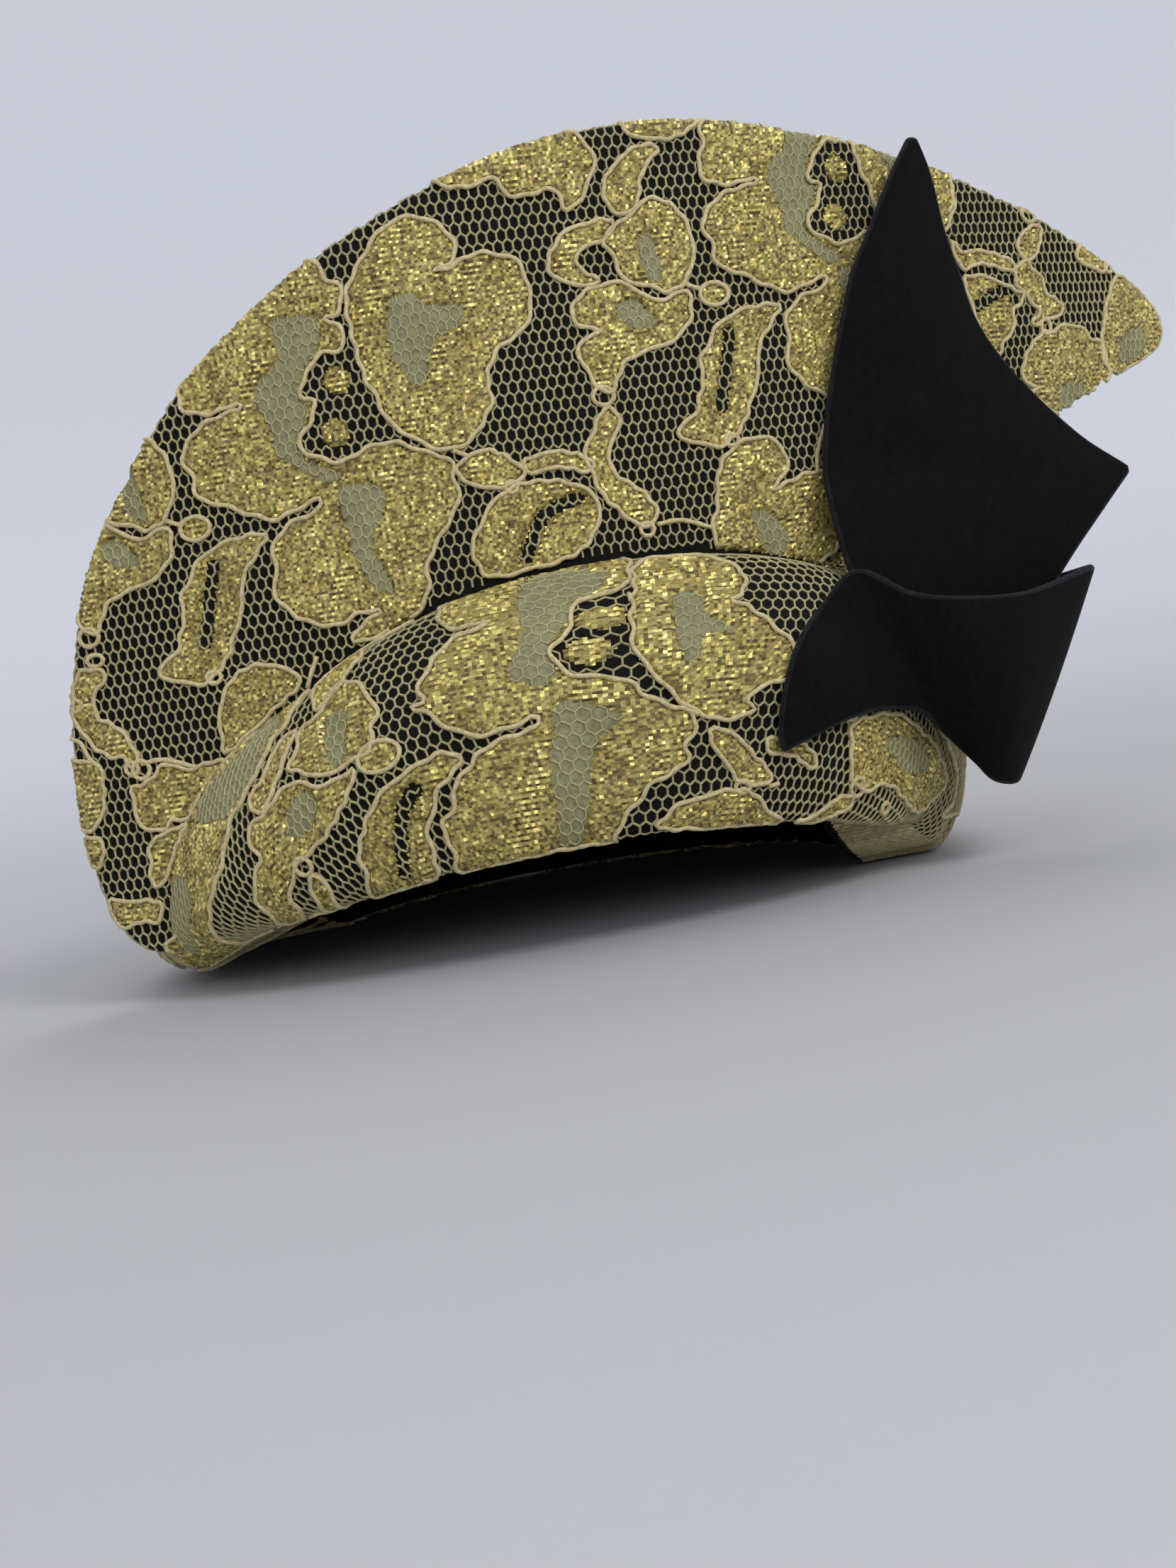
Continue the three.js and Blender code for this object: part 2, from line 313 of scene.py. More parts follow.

# One repeat charted in the photograph's pixels, with rings as x, y, half width and half height
WHOLE_PHOTO = (0, 0, 1.0)
HALO_MOTIFS = {
    "flower_and_petal": {
        "outline": [
            (338, 570), (300, 584), (264, 580), (256, 556), (262, 528), (258, 503), (278, 476),
            (312, 452), (346, 422), (382, 394), (416, 370), (445, 370), (460, 394), (479, 402),
            (484, 424), (477, 444), (460, 449), (481, 463), (488, 481), (478, 496), (452, 501),
            (438, 524), (427, 548), (430, 562), (446, 567), (446, 580), (438, 602), (424, 626),
            (436, 640), (462, 649), (486, 652), (520, 633), (558, 625), (600, 638), (636, 650),
            (640, 672), (648, 692), (644, 718), (628, 748), (610, 782), (604, 806), (606, 836),
            (584, 872), (540, 896), (502, 906), (512, 884), (540, 862), (508, 866), (480, 882),
            (448, 880), (420, 868), (400, 850), (389, 830), (396, 806), (388, 784), (396, 758),
            (418, 736), (446, 724), (456, 714), (452, 705), (418, 721), (394, 733), (362, 728),
            (322, 714), (284, 703), (278, 676), (262, 650), (268, 628), (288, 602), (314, 588),
            (340, 578),
        ],
        "plains": [
            [
                (386, 452), (440, 446), (452, 466), (446, 496), (428, 524), (424, 550), (438, 572),
                (430, 604), (420, 628), (440, 652), (482, 668), (464, 682), (420, 660), (392, 640),
                (384, 606), (364, 570), (364, 545), (392, 512), (388, 480),
            ],
            [
                (480, 690), (530, 685), (546, 702), (535, 740), (526, 770), (542, 800), (556, 836),
                (530, 830), (505, 790), (494, 750),
            ],
        ],
        "dots": [(477, 537), (475, 611)],
    },
    "three_lobed_flower": {
        "outline": [
            (612, 384), (638, 370), (642, 350), (630, 328), (608, 313), (580, 307), (548, 318),
            (526, 342), (508, 374), (494, 402), (490, 430), (496, 462), (505, 496), (518, 536),
            (534, 562), (548, 592), (580, 616), (612, 632), (642, 634), (668, 618), (686, 588),
            (695, 562), (688, 544), (692, 515), (706, 490), (734, 470), (747, 444), (748, 418),
            (740, 396), (735, 374), (712, 363), (682, 358), (658, 364), (636, 378),
        ],
        "plains": [
            [
                (550, 430), (578, 414), (602, 430), (650, 432), (648, 458), (620, 474), (606, 500),
                (600, 536), (584, 546), (568, 520), (550, 494),
            ],
        ],
    },
    "small_leaf": {
        "outline": [
            (645, 666), (660, 645), (690, 637), (716, 646), (741, 666), (726, 681), (700, 690),
            (668, 684),
        ],
    },
    "ladder_leaf_low": {
        "outline": [
            (674, 794), (668, 770), (690, 720), (720, 690), (760, 680), (800, 682), (830, 695),
            (846, 716), (841, 742), (828, 768), (800, 788), (740, 806), (692, 814),
        ],
        "slits": [
            [(744, 788), (757, 748), (775, 722), (815, 703)],
        ],
    },
    "bridge": {
        "outline": [
            (738, 654), (762, 642), (792, 639), (820, 644), (838, 656), (826, 666), (800, 661),
            (770, 663), (750, 668),
        ],
    },
    "stem": {
        "outline": [
            (852, 578), (836, 610), (826, 642), (836, 672), (852, 702), (874, 722), (904, 745),
            (918, 738), (924, 716), (898, 690), (872, 674), (857, 650), (866, 618), (872, 588),
        ],
    },
    "crescent": {
        "outline": [
            (862, 313), (826, 316), (796, 330), (776, 358), (773, 380), (786, 396), (816, 403),
            (846, 399), (826, 387), (812, 374), (818, 356), (834, 344), (852, 338),
        ],
    },
    "small_flower": {
        "outline": [
            (850, 348), (862, 325), (884, 308), (896, 292), (914, 282), (936, 286), (956, 302),
            (970, 326), (976, 350), (971, 380), (962, 402), (938, 413), (912, 404), (884, 397),
            (868, 382), (866, 362),
        ],
        "plains": [
            [(898, 338), (914, 330), (926, 360), (936, 392), (922, 400), (906, 378)],
        ],
    },
    "side_flower": {
        "outline": [
            (806, 440), (816, 420), (842, 405), (872, 401), (898, 411), (922, 426), (946, 419),
            (966, 411), (973, 432), (970, 456), (954, 476), (928, 491), (900, 500), (880, 513),
            (871, 532), (864, 552), (848, 553), (834, 535), (820, 511), (816, 490), (830, 475),
            (850, 468), (826, 464), (810, 455),
        ],
        "plains": [
            [(868, 432), (894, 424), (912, 440), (926, 456), (904, 466), (880, 456)],
        ],
    },
    "curl": {
        "outline": [
            (908, 206), (882, 217), (862, 236), (850, 262), (853, 286), (866, 303), (886, 300),
            (898, 284), (900, 262), (905, 240), (914, 224), (928, 212),
        ],
    },
    "ladder_leaf_high": {
        "outline": [
            (1096, 432), (1062, 434), (1030, 445), (1010, 461), (1000, 482), (986, 510), (990, 536),
            (985, 560), (979, 586), (955, 606), (958, 619), (984, 625), (1010, 632), (1034, 616),
            (1050, 590), (1058, 560), (1068, 530), (1065, 505), (1072, 480), (1086, 454),
        ],
        "slits": [
            [(1027, 470), (1023, 520), (1017, 575)],
        ],
    },
    "curled_petal": {
        "outline": [
            (1010, 684), (1015, 656), (1030, 635), (1052, 621), (1076, 618), (1096, 630), (1108, 650),
            (1102, 672), (1086, 692), (1112, 680), (1144, 667), (1176, 674), (1190, 706), (1188, 744),
            (1172, 780), (1136, 800), (1090, 802), (1046, 792), (1012, 774), (1004, 744), (1010, 714),
        ],
        "plains": [
            [(1058, 730), (1084, 724), (1112, 760), (1092, 790)],
        ],
    },
    "edge_petal": {
        "outline": [
            (612, 256), (650, 266), (694, 254), (708, 266), (724, 280), (752, 274), (782, 269),
            (796, 297), (812, 290), (828, 262), (836, 226), (820, 200), (788, 180), (740, 180),
            (690, 200), (640, 226),
        ],
    },
    "edge_leaf": {
        "outline": [(874, 174), (895, 195), (928, 199), (960, 190), (986, 168), (960, 148), (904, 148)],
    },
}
HALO_RINGS = [
    (850, 560, 14, 12), (1005, 416, 20, 15), (722, 688, 8, 8), (1030, 622, 10, 8), (912, 748, 9, 9),
]
HALO_JOINS = [
    [(926, 741), (960, 735), (1004, 746)],
    [(640, 636), (664, 646)],
    [(965, 402), (985, 410)],
    [(1160, 600), (1150, 640), (1150, 668)],
]
# The ends of the brim are charted on enlarged crops: the left and top of the crop and its scale
LEFT_END_CROP = (60, 700, 0.4335)
LEFT_END_MOTIFS = {
    "edge_stem": {
        "outline": [
            (130, 580), (165, 563), (205, 570), (217, 600), (190, 635), (180, 680), (200, 725),
            (240, 742), (275, 770), (305, 810), (325, 850), (300, 880), (283, 850), (240, 848),
            (190, 822), (160, 790), (135, 750), (118, 715), (115, 650),
        ],
    },
    "low_petal": {
        "outline": [
            (345, 935), (380, 905), (400, 878), (450, 875), (500, 887), (560, 865), (605, 866),
            (575, 920), (530, 990), (490, 1050), (440, 1050), (405, 1085), (355, 1082), (325, 1048),
            (312, 1000), (305, 950),
        ],
    },
    "low_leaf": {
        "outline": [
            (375, 1120), (420, 1088), (455, 1080), (480, 1065), (455, 1120), (440, 1170), (420, 1220),
            (405, 1260), (380, 1265), (362, 1235), (370, 1190), (360, 1150),
        ],
    },
    "edge_petal_low": {
        "outline": [
            (100, 870), (160, 865), (200, 885), (213, 940), (215, 1000), (200, 1050), (170, 1095),
            (130, 1060), (105, 980),
        ],
    },
    "edge_bit": {
        "outline": [(150, 1115), (195, 1113), (213, 1140), (210, 1180), (190, 1212), (160, 1170)],
    },
    "tip_band": {
        "outline": [(230, 1318), (300, 1315), (395, 1322), (390, 1385), (340, 1382), (275, 1398)],
    },
    "seam_petal": {
        "outline": [
            (605, 835), (595, 770), (585, 710), (595, 660), (620, 610), (650, 575), (700, 552),
            (760, 548), (810, 570), (850, 605), (800, 660), (720, 735), (660, 795),
        ],
    },
}
LEFT_END_RINGS = [(335, 890, 28, 28), (185, 535, 28, 18)]
LEFT_END_JOINS = [
    [(100, 785), (140, 805), (165, 850), (200, 882)],
]
RIGHT_END_CROP = (1300, 250, 0.2488)
RIGHT_END_MOTIFS = {
    "loop_leaf": {
        "outline": [
            (590, 290), (630, 275), (660, 300), (652, 345), (640, 400), (620, 450), (585, 480),
            (555, 465), (530, 430), (520, 400), (540, 350), (565, 315),
        ],
    },
    "end_band": {
        "outline": [
            (150, 370), (215, 436), (330, 426), (440, 463), (502, 492), (505, 540), (470, 530),
            (420, 520), (330, 498), (270, 503), (225, 540), (180, 480),
        ],
    },
    "end_stem": {
        "outline": [
            (507, 545), (540, 492), (580, 490), (600, 530), (650, 560), (670, 600), (667, 640),
            (700, 680), (745, 702), (772, 738), (765, 775), (735, 803), (690, 815), (655, 820),
            (630, 852), (608, 840), (617, 808), (650, 780), (640, 745), (600, 720), (575, 680),
            (545, 650), (520, 620),
        ],
    },
    "end_ladder": {
        "outline": [
            (220, 590), (270, 568), (340, 573), (400, 588), (450, 618), (510, 648), (555, 668),
            (545, 715), (500, 755), (505, 830), (480, 890), (440, 950), (415, 1015), (345, 930),
            (300, 830), (260, 730),
        ],
        "slits": [
            [(300, 736), (382, 683), (465, 642)],
            [(506, 675), (522, 715)],
        ],
    },
    "end_flower": {
        "outline": [
            (605, 955), (630, 925), (665, 890), (720, 880), (780, 850), (850, 848), (892, 868),
            (922, 910), (960, 932), (998, 940), (1000, 1000), (1015, 1060), (1045, 1140), (950, 1215),
            (850, 1295), (770, 1360), (690, 1310), (610, 1240), (640, 1200), (590, 1190), (555, 1140),
            (553, 1080), (570, 1020),
        ],
        "plains": [
            [(795, 1185), (840, 1158), (895, 1180), (925, 1225), (840, 1300), (775, 1355), (768, 1270)],
        ],
    },
    "corner_flower": {
        "outline": [
            (1075, 575), (1130, 575), (1210, 645), (1290, 735), (1335, 850), (1330, 960), (1262, 1010),
            (1150, 1085), (1060, 1130), (1030, 1060), (1012, 1000), (1000, 920), (1003, 860), (1012, 800),
            (1030, 700), (1050, 635),
        ],
        "plains": [
            [(1130, 905), (1170, 868), (1240, 862), (1255, 965), (1190, 1030), (1105, 1050), (1108, 965)],
        ],
    },
}
RIGHT_END_RINGS = [(682, 855, 40, 45)]
RIGHT_END_JOINS = [
    [(600, 1205), (660, 1180), (705, 1158)],
    [(125, 30), (150, 45), (155, 110), (150, 170), (125, 205)],
]
RIGHT_EDGE_BAND = [
    (1296, 1000), (1318, 1018), (1336, 1044), (1345, 1072), (1349, 1100), (1345, 1130), (1333, 1152),
    (1350, 1146), (1362, 1112), (1362, 1080), (1354, 1046), (1338, 1018), (1312, 996),
]
CROWN_MOTIFS = {
    "flower_and_petal": {
        "outline": [
            (630, 845), (680, 818), (740, 794), (800, 781), (858, 778), (884, 786), (889, 802),
            (884, 826), (868, 838), (842, 843), (816, 852), (803, 872), (808, 886), (790, 903),
            (779, 918), (786, 938), (802, 950), (825, 955), (860, 955), (890, 965), (912, 980),
            (940, 993), (972, 1003), (979, 1025), (966, 1050), (970, 1072), (945, 1090), (918, 1106),
            (895, 1130), (880, 1155), (868, 1180), (868, 1192), (800, 1206), (720, 1218), (652, 1232),
            (640, 1200), (628, 1180), (625, 1160), (637, 1148), (645, 1132), (642, 1115), (650, 1098),
            (665, 1078), (682, 1058), (702, 1045), (742, 1032), (757, 1026), (758, 1014), (748, 1012),
            (720, 1025), (682, 1037), (650, 1035), (620, 1018), (600, 1005), (585, 1001), (597, 992),
            (590, 980), (593, 965), (602, 948), (620, 925), (640, 905), (664, 893), (692, 880),
            (660, 888), (640, 891), (623, 882), (620, 862),
        ],
        "plains": [
            [
                (770, 800), (845, 806), (842, 834), (806, 848), (794, 880), (774, 912), (784, 940),
                (768, 964), (722, 958), (720, 928), (736, 892), (730, 852), (744, 820),
            ],
            [
                (790, 990), (860, 1000), (872, 1016), (842, 1050), (836, 1100), (826, 1150), (815, 1196),
                (790, 1198), (784, 1130), (774, 1080), (784, 1040),
            ],
        ],
        "dots": [(847, 873), (827, 920)],
    },
    "three_lobed_flower": {
        "outline": [
            (895, 832), (895, 804), (914, 790), (950, 785), (990, 787), (1022, 795), (1042, 806),
            (1050, 822), (1046, 840), (1030, 848), (1056, 858), (1090, 884), (1116, 908), (1122, 936),
            (1104, 958), (1074, 968), (1056, 984), (1062, 1000), (1042, 1011), (1012, 1014), (984, 1005),
            (962, 992), (942, 972), (922, 952), (902, 932), (896, 912), (892, 884), (890, 858),
        ],
        "plains": [
            [
                (950, 840), (985, 838), (1002, 870), (1040, 890), (992, 896), (986, 926), (968, 930),
                (954, 894),
            ],
        ],
    },
    "small_leaf": {
        "outline": [
            (1000, 1030), (1020, 1028), (1040, 1040), (1060, 1060), (1080, 1085), (1088, 1098),
            (1070, 1105), (1040, 1100), (1020, 1075), (1010, 1055),
        ],
    },
    "rim_leaf": {
        "outline": [
            (930, 1165), (940, 1150), (960, 1135), (1000, 1120), (1040, 1112), (1060, 1120), (1080, 1140),
            (1095, 1160), (1000, 1168),
        ],
    },
    "side_stem": {
        "outline": [
            (1120, 1160), (1140, 1150), (1160, 1140), (1180, 1125), (1200, 1120), (1195, 1135),
            (1170, 1150), (1140, 1160),
        ],
    },
    "end_petal": {
        "outline": [
            (1197, 1040), (1200, 1020), (1230, 1010), (1265, 1008), (1310, 1045), (1332, 1075),
            (1336, 1110), (1312, 1140), (1290, 1145), (1275, 1130), (1260, 1110), (1240, 1105),
            (1225, 1115), (1200, 1100),
        ],
        "plains": [
            [(1252, 1040), (1300, 1050), (1312, 1085), (1280, 1090), (1258, 1065)],
        ],
    },
    "small_flower": {
        "outline": [
            (480, 970), (500, 965), (515, 975), (530, 995), (532, 1010), (525, 1030), (525, 1045),
            (520, 1060), (505, 1070), (490, 1078), (470, 1090), (450, 1095), (430, 1092), (415, 1088),
            (412, 1080), (422, 1065), (424, 1045), (430, 1030), (445, 1020), (455, 1005), (462, 990),
        ],
        "plains": [
            [(462, 1015), (488, 1000), (490, 1040), (485, 1075), (470, 1080), (460, 1050)],
        ],
    },
    "side_flower": {
        "outline": [
            (380, 1150), (395, 1125), (410, 1110), (430, 1105), (455, 1110), (485, 1095), (500, 1085),
            (498, 1100), (495, 1115), (485, 1135), (475, 1155), (460, 1180), (445, 1195), (430, 1210),
            (418, 1225), (413, 1262), (420, 1275), (430, 1285), (425, 1298), (410, 1300), (380, 1280),
            (370, 1268), (366, 1250), (368, 1225), (375, 1210), (365, 1200), (360, 1185), (362, 1170),
            (372, 1155),
        ],
        "plains": [
            [(410, 1150), (418, 1122), (440, 1118), (445, 1135), (440, 1165), (425, 1180), (408, 1175)],
        ],
    },
    "ladder_leaf_high": {
        "outline": [
            (650, 1067), (620, 1064), (590, 1080), (562, 1096), (545, 1116), (526, 1140), (513, 1170),
            (506, 1206), (518, 1238), (528, 1264), (574, 1252), (618, 1240), (614, 1208), (604, 1178),
            (610, 1148), (620, 1112), (640, 1088),
        ],
        "slits": [
            [(584, 1116), (570, 1136), (563, 1165), (564, 1190), (568, 1215), (569, 1236)],
        ],
    },
    "crescent": {
        "outline": [
            (420, 1034), (405, 1045), (395, 1060), (385, 1080), (378, 1100), (365, 1118), (360, 1132),
            (364, 1145), (376, 1147), (385, 1135), (392, 1115), (400, 1095), (405, 1070), (415, 1050),
        ],
    },
    "curl": {
        "outline": [
            (450, 1004), (445, 984), (456, 955), (478, 934), (506, 916), (511, 926), (492, 950),
            (485, 970), (468, 986),
        ],
    },
    "end_band": {
        "outline": [
            (424, 955), (425, 980), (414, 1008), (402, 1032), (388, 1050), (378, 1075), (352, 1130),
            (340, 1150), (333, 1165), (328, 1200), (322, 1230), (308, 1275), (305, 1295), (310, 1312),
            (325, 1320), (352, 1321), (386, 1314), (368, 1334), (335, 1350), (293, 1361), (262, 1352),
            (240, 1333), (232, 1310), (236, 1270), (250, 1230), (268, 1185), (285, 1145), (305, 1105),
            (330, 1070), (365, 1025), (400, 985),
        ],
        "plains": [
            [
                (385, 1010), (398, 1020), (380, 1050), (365, 1090), (345, 1130), (332, 1150), (318, 1160),
                (290, 1165), (285, 1155), (305, 1110), (335, 1068), (365, 1028),
            ],
            [
                (262, 1240), (275, 1245), (280, 1275), (275, 1300), (285, 1330), (270, 1340), (250, 1325),
                (242, 1300), (250, 1260),
            ],
        ],
    },
    "right_edge_band": {"outline": RIGHT_EDGE_BAND, "plains": [RIGHT_EDGE_BAND]},
}
CROWN_RINGS = [(537, 1066, 26, 18), (1048, 1108, 10, 8), (1207, 1110, 13, 12)]
CROWN_JOINS = [
    [(885, 842), (892, 850)],
    [(895, 912), (905, 930)],
    [(505, 1076), (520, 1060)],
    [(870, 1172), (850, 1196)],
    [(965, 998), (985, 1006)],
    [(1082, 1110), (1098, 1104)],
    [(500, 1098), (516, 1084)],
]


random = np.random.default_rng(SEED)
crown_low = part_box("crown")[0]
HAT_ORIGIN = np.array([
    crown_low.x + CROWN_LEFT * MM,
    crown_low.y + CROWN_FRONT * MM,
    crown_low.z,
])


# Small vector helpers
def unit(vectors):
    length = np.linalg.norm(vectors, axis=-1, keepdims=True)
    return vectors / np.maximum(length, TINY)


def signed_power(value, power):
    return np.sign(value) * np.abs(value) ** power


def smooth_step(low, high, value):
    share = np.clip((value - low) / (high - low), 0, 1)
    return share * share * (3 - 2 * share)


def running(steps):
    """The sum of all steps so far, from 0."""
    return np.concatenate([[0], np.cumsum(steps)])


def ahead_round(run):
    """The way ahead at each point of a closed run."""
    return np.roll(run, -1, axis=0) - np.roll(run, 1, axis=0)


def through_points(points, share):
    """Places on a smooth open curve through the points, with share from 0 to 1 over the whole of it."""
    points = np.asarray(points, float)
    padded = np.vstack([2 * points[0] - points[1], points, 2 * points[-1] - points[-2]])
    place = np.asarray(share) * (len(points) - 1)
    index = np.minimum(place.astype(int), len(points) - 2)
    t = (place - index)[..., None]
    a, b, c, d = (padded[index + k] for k in range(4))
    square = 2 * a - 5 * b + 4 * c - d
    cube = 3 * b - a - 3 * c + d
    return 0.5 * (2 * b + (c - a) * t + square * t**2 + cube * t**3)


def smooth_run(points, closed, step):
    """A smooth curve through the points, as points a step apart."""
    points = np.asarray(points, float)
    if closed:
        points = np.vstack([points[-1:], points, points[:2]])
    fine = through_points(points, np.linspace(0, 1, CURVE_STEPS * (len(points) - 1) + 1))
    if closed:
        fine = fine[CURVE_STEPS:-CURVE_STEPS]
    way = running(np.linalg.norm(np.diff(fine, axis=0), axis=1))
    count = max(LEAST_STEPS, int(round(way[-1] / step)))
    marks = np.linspace(0, way[-1], count + 1)
    return np.stack([np.interp(marks, way, fine[:, k]) for k in range(2)], 1)


def cell_corners(i, j, s, t):
    """The four corners of grid cells, each with its share in a place inside the cell."""
    return (
        (i, j, (1 - s) * (1 - t)),
        (i + 1, j, s * (1 - t)),
        (i, j + 1, (1 - s) * t),
        (i + 1, j + 1, s * t),
    )


def inside_outline(points, outline):
    """Which of the points lie inside a closed outline."""
    inside = np.zeros(len(points), bool)
    x, y = points[:, 0], points[:, 1]
    for (x0, y0), (x1, y1) in zip(outline, np.roll(outline, -1, axis=0)):
        if y0 == y1:
            continue
        crosses = (y0 > y) != (y1 > y)
        inside ^= crosses & (x < (x1 - x0) * (y - y0) / (y1 - y0) + x0)
    return inside


# The photograph
def camera_axes():
    """Unit vectors to the right, up and ahead as the photograph was taken."""
    ahead = unit(CAMERA_TARGET - CAMERA_PLACE)
    level = unit(np.cross(ahead, (0, 0, 1)))
    upright = np.cross(level, ahead)
    right = level * math.cos(CAMERA_ROLL) - upright * math.sin(CAMERA_ROLL)
    up = level * math.sin(CAMERA_ROLL) + upright * math.cos(CAMERA_ROLL)
    return right, up, ahead


def in_photo(points):
    """The photograph's pixels at which points of the hat are seen."""
    right, up, ahead = camera_axes()
    sight = points - CAMERA_PLACE
    offset = np.stack([sight @ right, -sight @ up], -1) / (sight @ ahead)[..., None]
    return PHOTO_SIZE / 2 + CAMERA_FOCAL_PIXELS * offset


def sight_lines(pixels):
    right, up, ahead = camera_axes()
    x, y = ((pixels - PHOTO_SIZE / 2) / CAMERA_FOCAL_PIXELS).T
    return ahead + x[:, None] * right - y[:, None] * up


# The forms
def halo_sweep(x):
    """The share of the way to an end of the brim, and how far that end sweeps back."""
    reach = (x - HALO_MIDDLE_X) / HALO_SWEEP_REACH
    return reach, np.where(reach < 0, HALO_SWEEP_LEFT, HALO_SWEEP_RIGHT)


def halo_depth(x, z):
    reach, sweep = halo_sweep(x)
    return HALO_DEPTH + sweep * reach**2 + HALO_LEAN * (z - HALO_LEAN_HEIGHT)


def halo_slope(x):
    reach, sweep = halo_sweep(x)
    return 2 * sweep * reach / HALO_SWEEP_REACH


def brim_middle(spots):
    """Points in the middle of the brim's thickness at spots seen from the front."""
    x, z = spots.T
    return np.stack([x, halo_depth(x, z), z], -1)


def halo_edge(share):
    """The brim's free edge from the right cut over the top to the left tip."""
    return through_points(HALO_EDGE, share)


def halo_foot(share):
    """The brim's lower edge, which runs inside the crown from right to left."""
    t = share[:, None]
    right, pull, left = HALO_FOOT
    return (1 - t) ** 2 * right + 2 * t * (1 - t) * pull + t**2 * left


class OutlineField:
    """How far places seen from the front lie outside the brim's outline, and which way out is."""

    STEP = 1.0
    LOW = np.array([-132.0, -4.0])
    SHAPE = (330, 200)
    EDGE_POINTS = 700
    FOOT_SKIP = 6
    LAST_CELL = np.array(SHAPE) - 1.001

    def __init__(self):
        share = np.linspace(0, 1, self.EDGE_POINTS)
        outline = np.concatenate([halo_edge(share), halo_foot(share[::-self.FOOT_SKIP])])
        nodes = np.moveaxis(np.indices(self.SHAPE), 0, -1) * self.STEP + self.LOW
        gap = np.stack([np.linalg.norm(row[:, None] - outline, axis=-1).min(1) for row in nodes])
        inside = inside_outline(nodes.reshape(-1, 2), outline).reshape(self.SHAPE)
        self.reach = np.where(inside, -gap, gap)
        self.out = np.stack(np.gradient(self.reach, self.STEP), -1)

    def at(self, spots):
        place = np.clip((spots - self.LOW) / self.STEP, 0, self.LAST_CELL)
        i, j = place.astype(int).T
        s, t = (place - np.floor(place)).T
        corners = cell_corners(i, j, s, t)
        reach = sum(self.reach[a, b] * share for a, b, share in corners)
        return reach, unit(sum(self.out[a, b] * share[:, None] for a, b, share in corners))


halo_field = OutlineField()


def halo_ways():
    """Places across the brim seen from the front, and the way to each along its sweep."""
    x = np.linspace(*HALO_REACH, HALO_SAMPLES)
    steps = np.hypot(np.diff(x), np.diff(halo_depth(x, 0)))
    way = running(steps)
    return x, way - np.interp(HALO_MIDDLE_X, x, way)


HALO_X, HALO_WAY = halo_ways()


def on_brim(pixels):
    """Where pixels of the photograph fall on the brim's face: the way along its sweep and the height."""
    lines = sight_lines(pixels)
    depth = np.full(len(lines), HALO_DEPTH)
    for _ in range(SIGHT_ROUNDS):
        far = (depth - HALO_HALF - CAMERA_PLACE[1]) / lines[:, 1]
        x, _, z = (CAMERA_PLACE + far[:, None] * lines).T
        depth = halo_depth(x, z)
    return np.stack([np.interp(x, HALO_X, HALO_WAY), z], -1)


def around(size, angle):
    """A size blended round the plan; the plan angle is 0 at the front and grows to the right."""
    square = np.cos(angle) ** 2
    end = np.where(np.cos(angle) > 0, size["front"], size["back"])
    side = np.where(np.sin(angle) > 0, size["right"], size["left"])
    return end * square + side * (1 - square)


def plan_point(angle, left, right, front, back):
    power = 2 / PLAN_POWER
    width = np.where(np.sin(angle) > 0, right, left)
    depth = np.where(np.cos(angle) > 0, front, back)
    return width * signed_power(np.sin(angle), power), -depth * signed_power(np.cos(angle), power)


def rim_height(angle):
    reach = (np.cos(angle - ARCH_TURN) - ARCH_START) / (1 - ARCH_START)
    left_end = smooth_step(*END_RISE_SIDE, -np.sin(angle)) * smooth_step(*END_RISE_FRONT, np.cos(angle))
    return ARCH_RISE * np.maximum(0, reach) ** ARCH_POWER + END_RISE * left_end


def crown_wall(angle, level):
    """The crown's outer wall, where level 1 is the apex, 0 the widest line and -1 the rim."""
    x, y = plan_point(angle, CROWN_LEFT, CROWN_RIGHT, CROWN_FRONT, CROWN_BACK)
    bulge = around(BULGE_HEIGHT, angle)
    turn = np.abs(level) * math.pi / 2
    lift = np.sin(turn)
    draw = np.cos(turn)
    shrink = 1 - around(WALL_TUCK, angle) * (1 - draw) / np.hypot(x, y)
    over = bulge + (CROWN_HEIGHT - bulge) * lift
    under = bulge + (rim_height(angle) - bulge) * lift
    upper = np.stack(np.broadcast_arrays(x * draw + PEAK_SHIFT * lift, y * draw, over), -1)
    lower = np.stack(np.broadcast_arrays(x * shrink, y * shrink, under), -1)
    return np.where((level >= 0)[..., None], upper, lower)


def depth_in_crown(points):
    """About how far the points lie under the crown's outer wall."""
    x, y, z = points.T
    angle = np.arctan2(x, -y)
    for _ in range(SETTLE_ROUNDS):
        bulge = around(BULGE_HEIGHT, angle)
        lift = np.clip((z - bulge) / (CROWN_HEIGHT - bulge), 0, 1)
        shifted = x - PEAK_SHIFT * lift
        depth = np.where(y < 0, CROWN_FRONT, CROWN_BACK)
        width = np.where(shifted < 0, CROWN_LEFT, CROWN_RIGHT)
        across = np.abs(shifted / width) ** PLAN_POWER
        deep = np.abs(y / depth) ** PLAN_POWER
        angle = np.arctan2(np.sign(shifted) * np.sqrt(across), -np.sign(y) * np.sqrt(deep))
    share = (across + deep) ** (1 / PLAN_POWER)
    radius = np.hypot(shifted, y) / np.maximum(share, LEAST_SHARE)
    drop = np.clip((bulge - z) / (bulge - rim_height(angle)), 0, 1)
    tucked = 1 - around(WALL_TUCK, angle) * (1 - np.sqrt(1 - drop**2)) / radius
    allowed = np.where(z >= bulge, np.sqrt(1 - lift**2), tucked)
    steep = np.where(z >= bulge, np.sqrt(np.maximum(allowed, LEAST_STEEP)), 1)
    return (allowed - share) * radius * steep


def cone_angle(spots):
    """The plan angles that spots of the crown's chart stand for."""
    return np.arctan2(spots[:, 0], -spots[:, 1]) / CONE


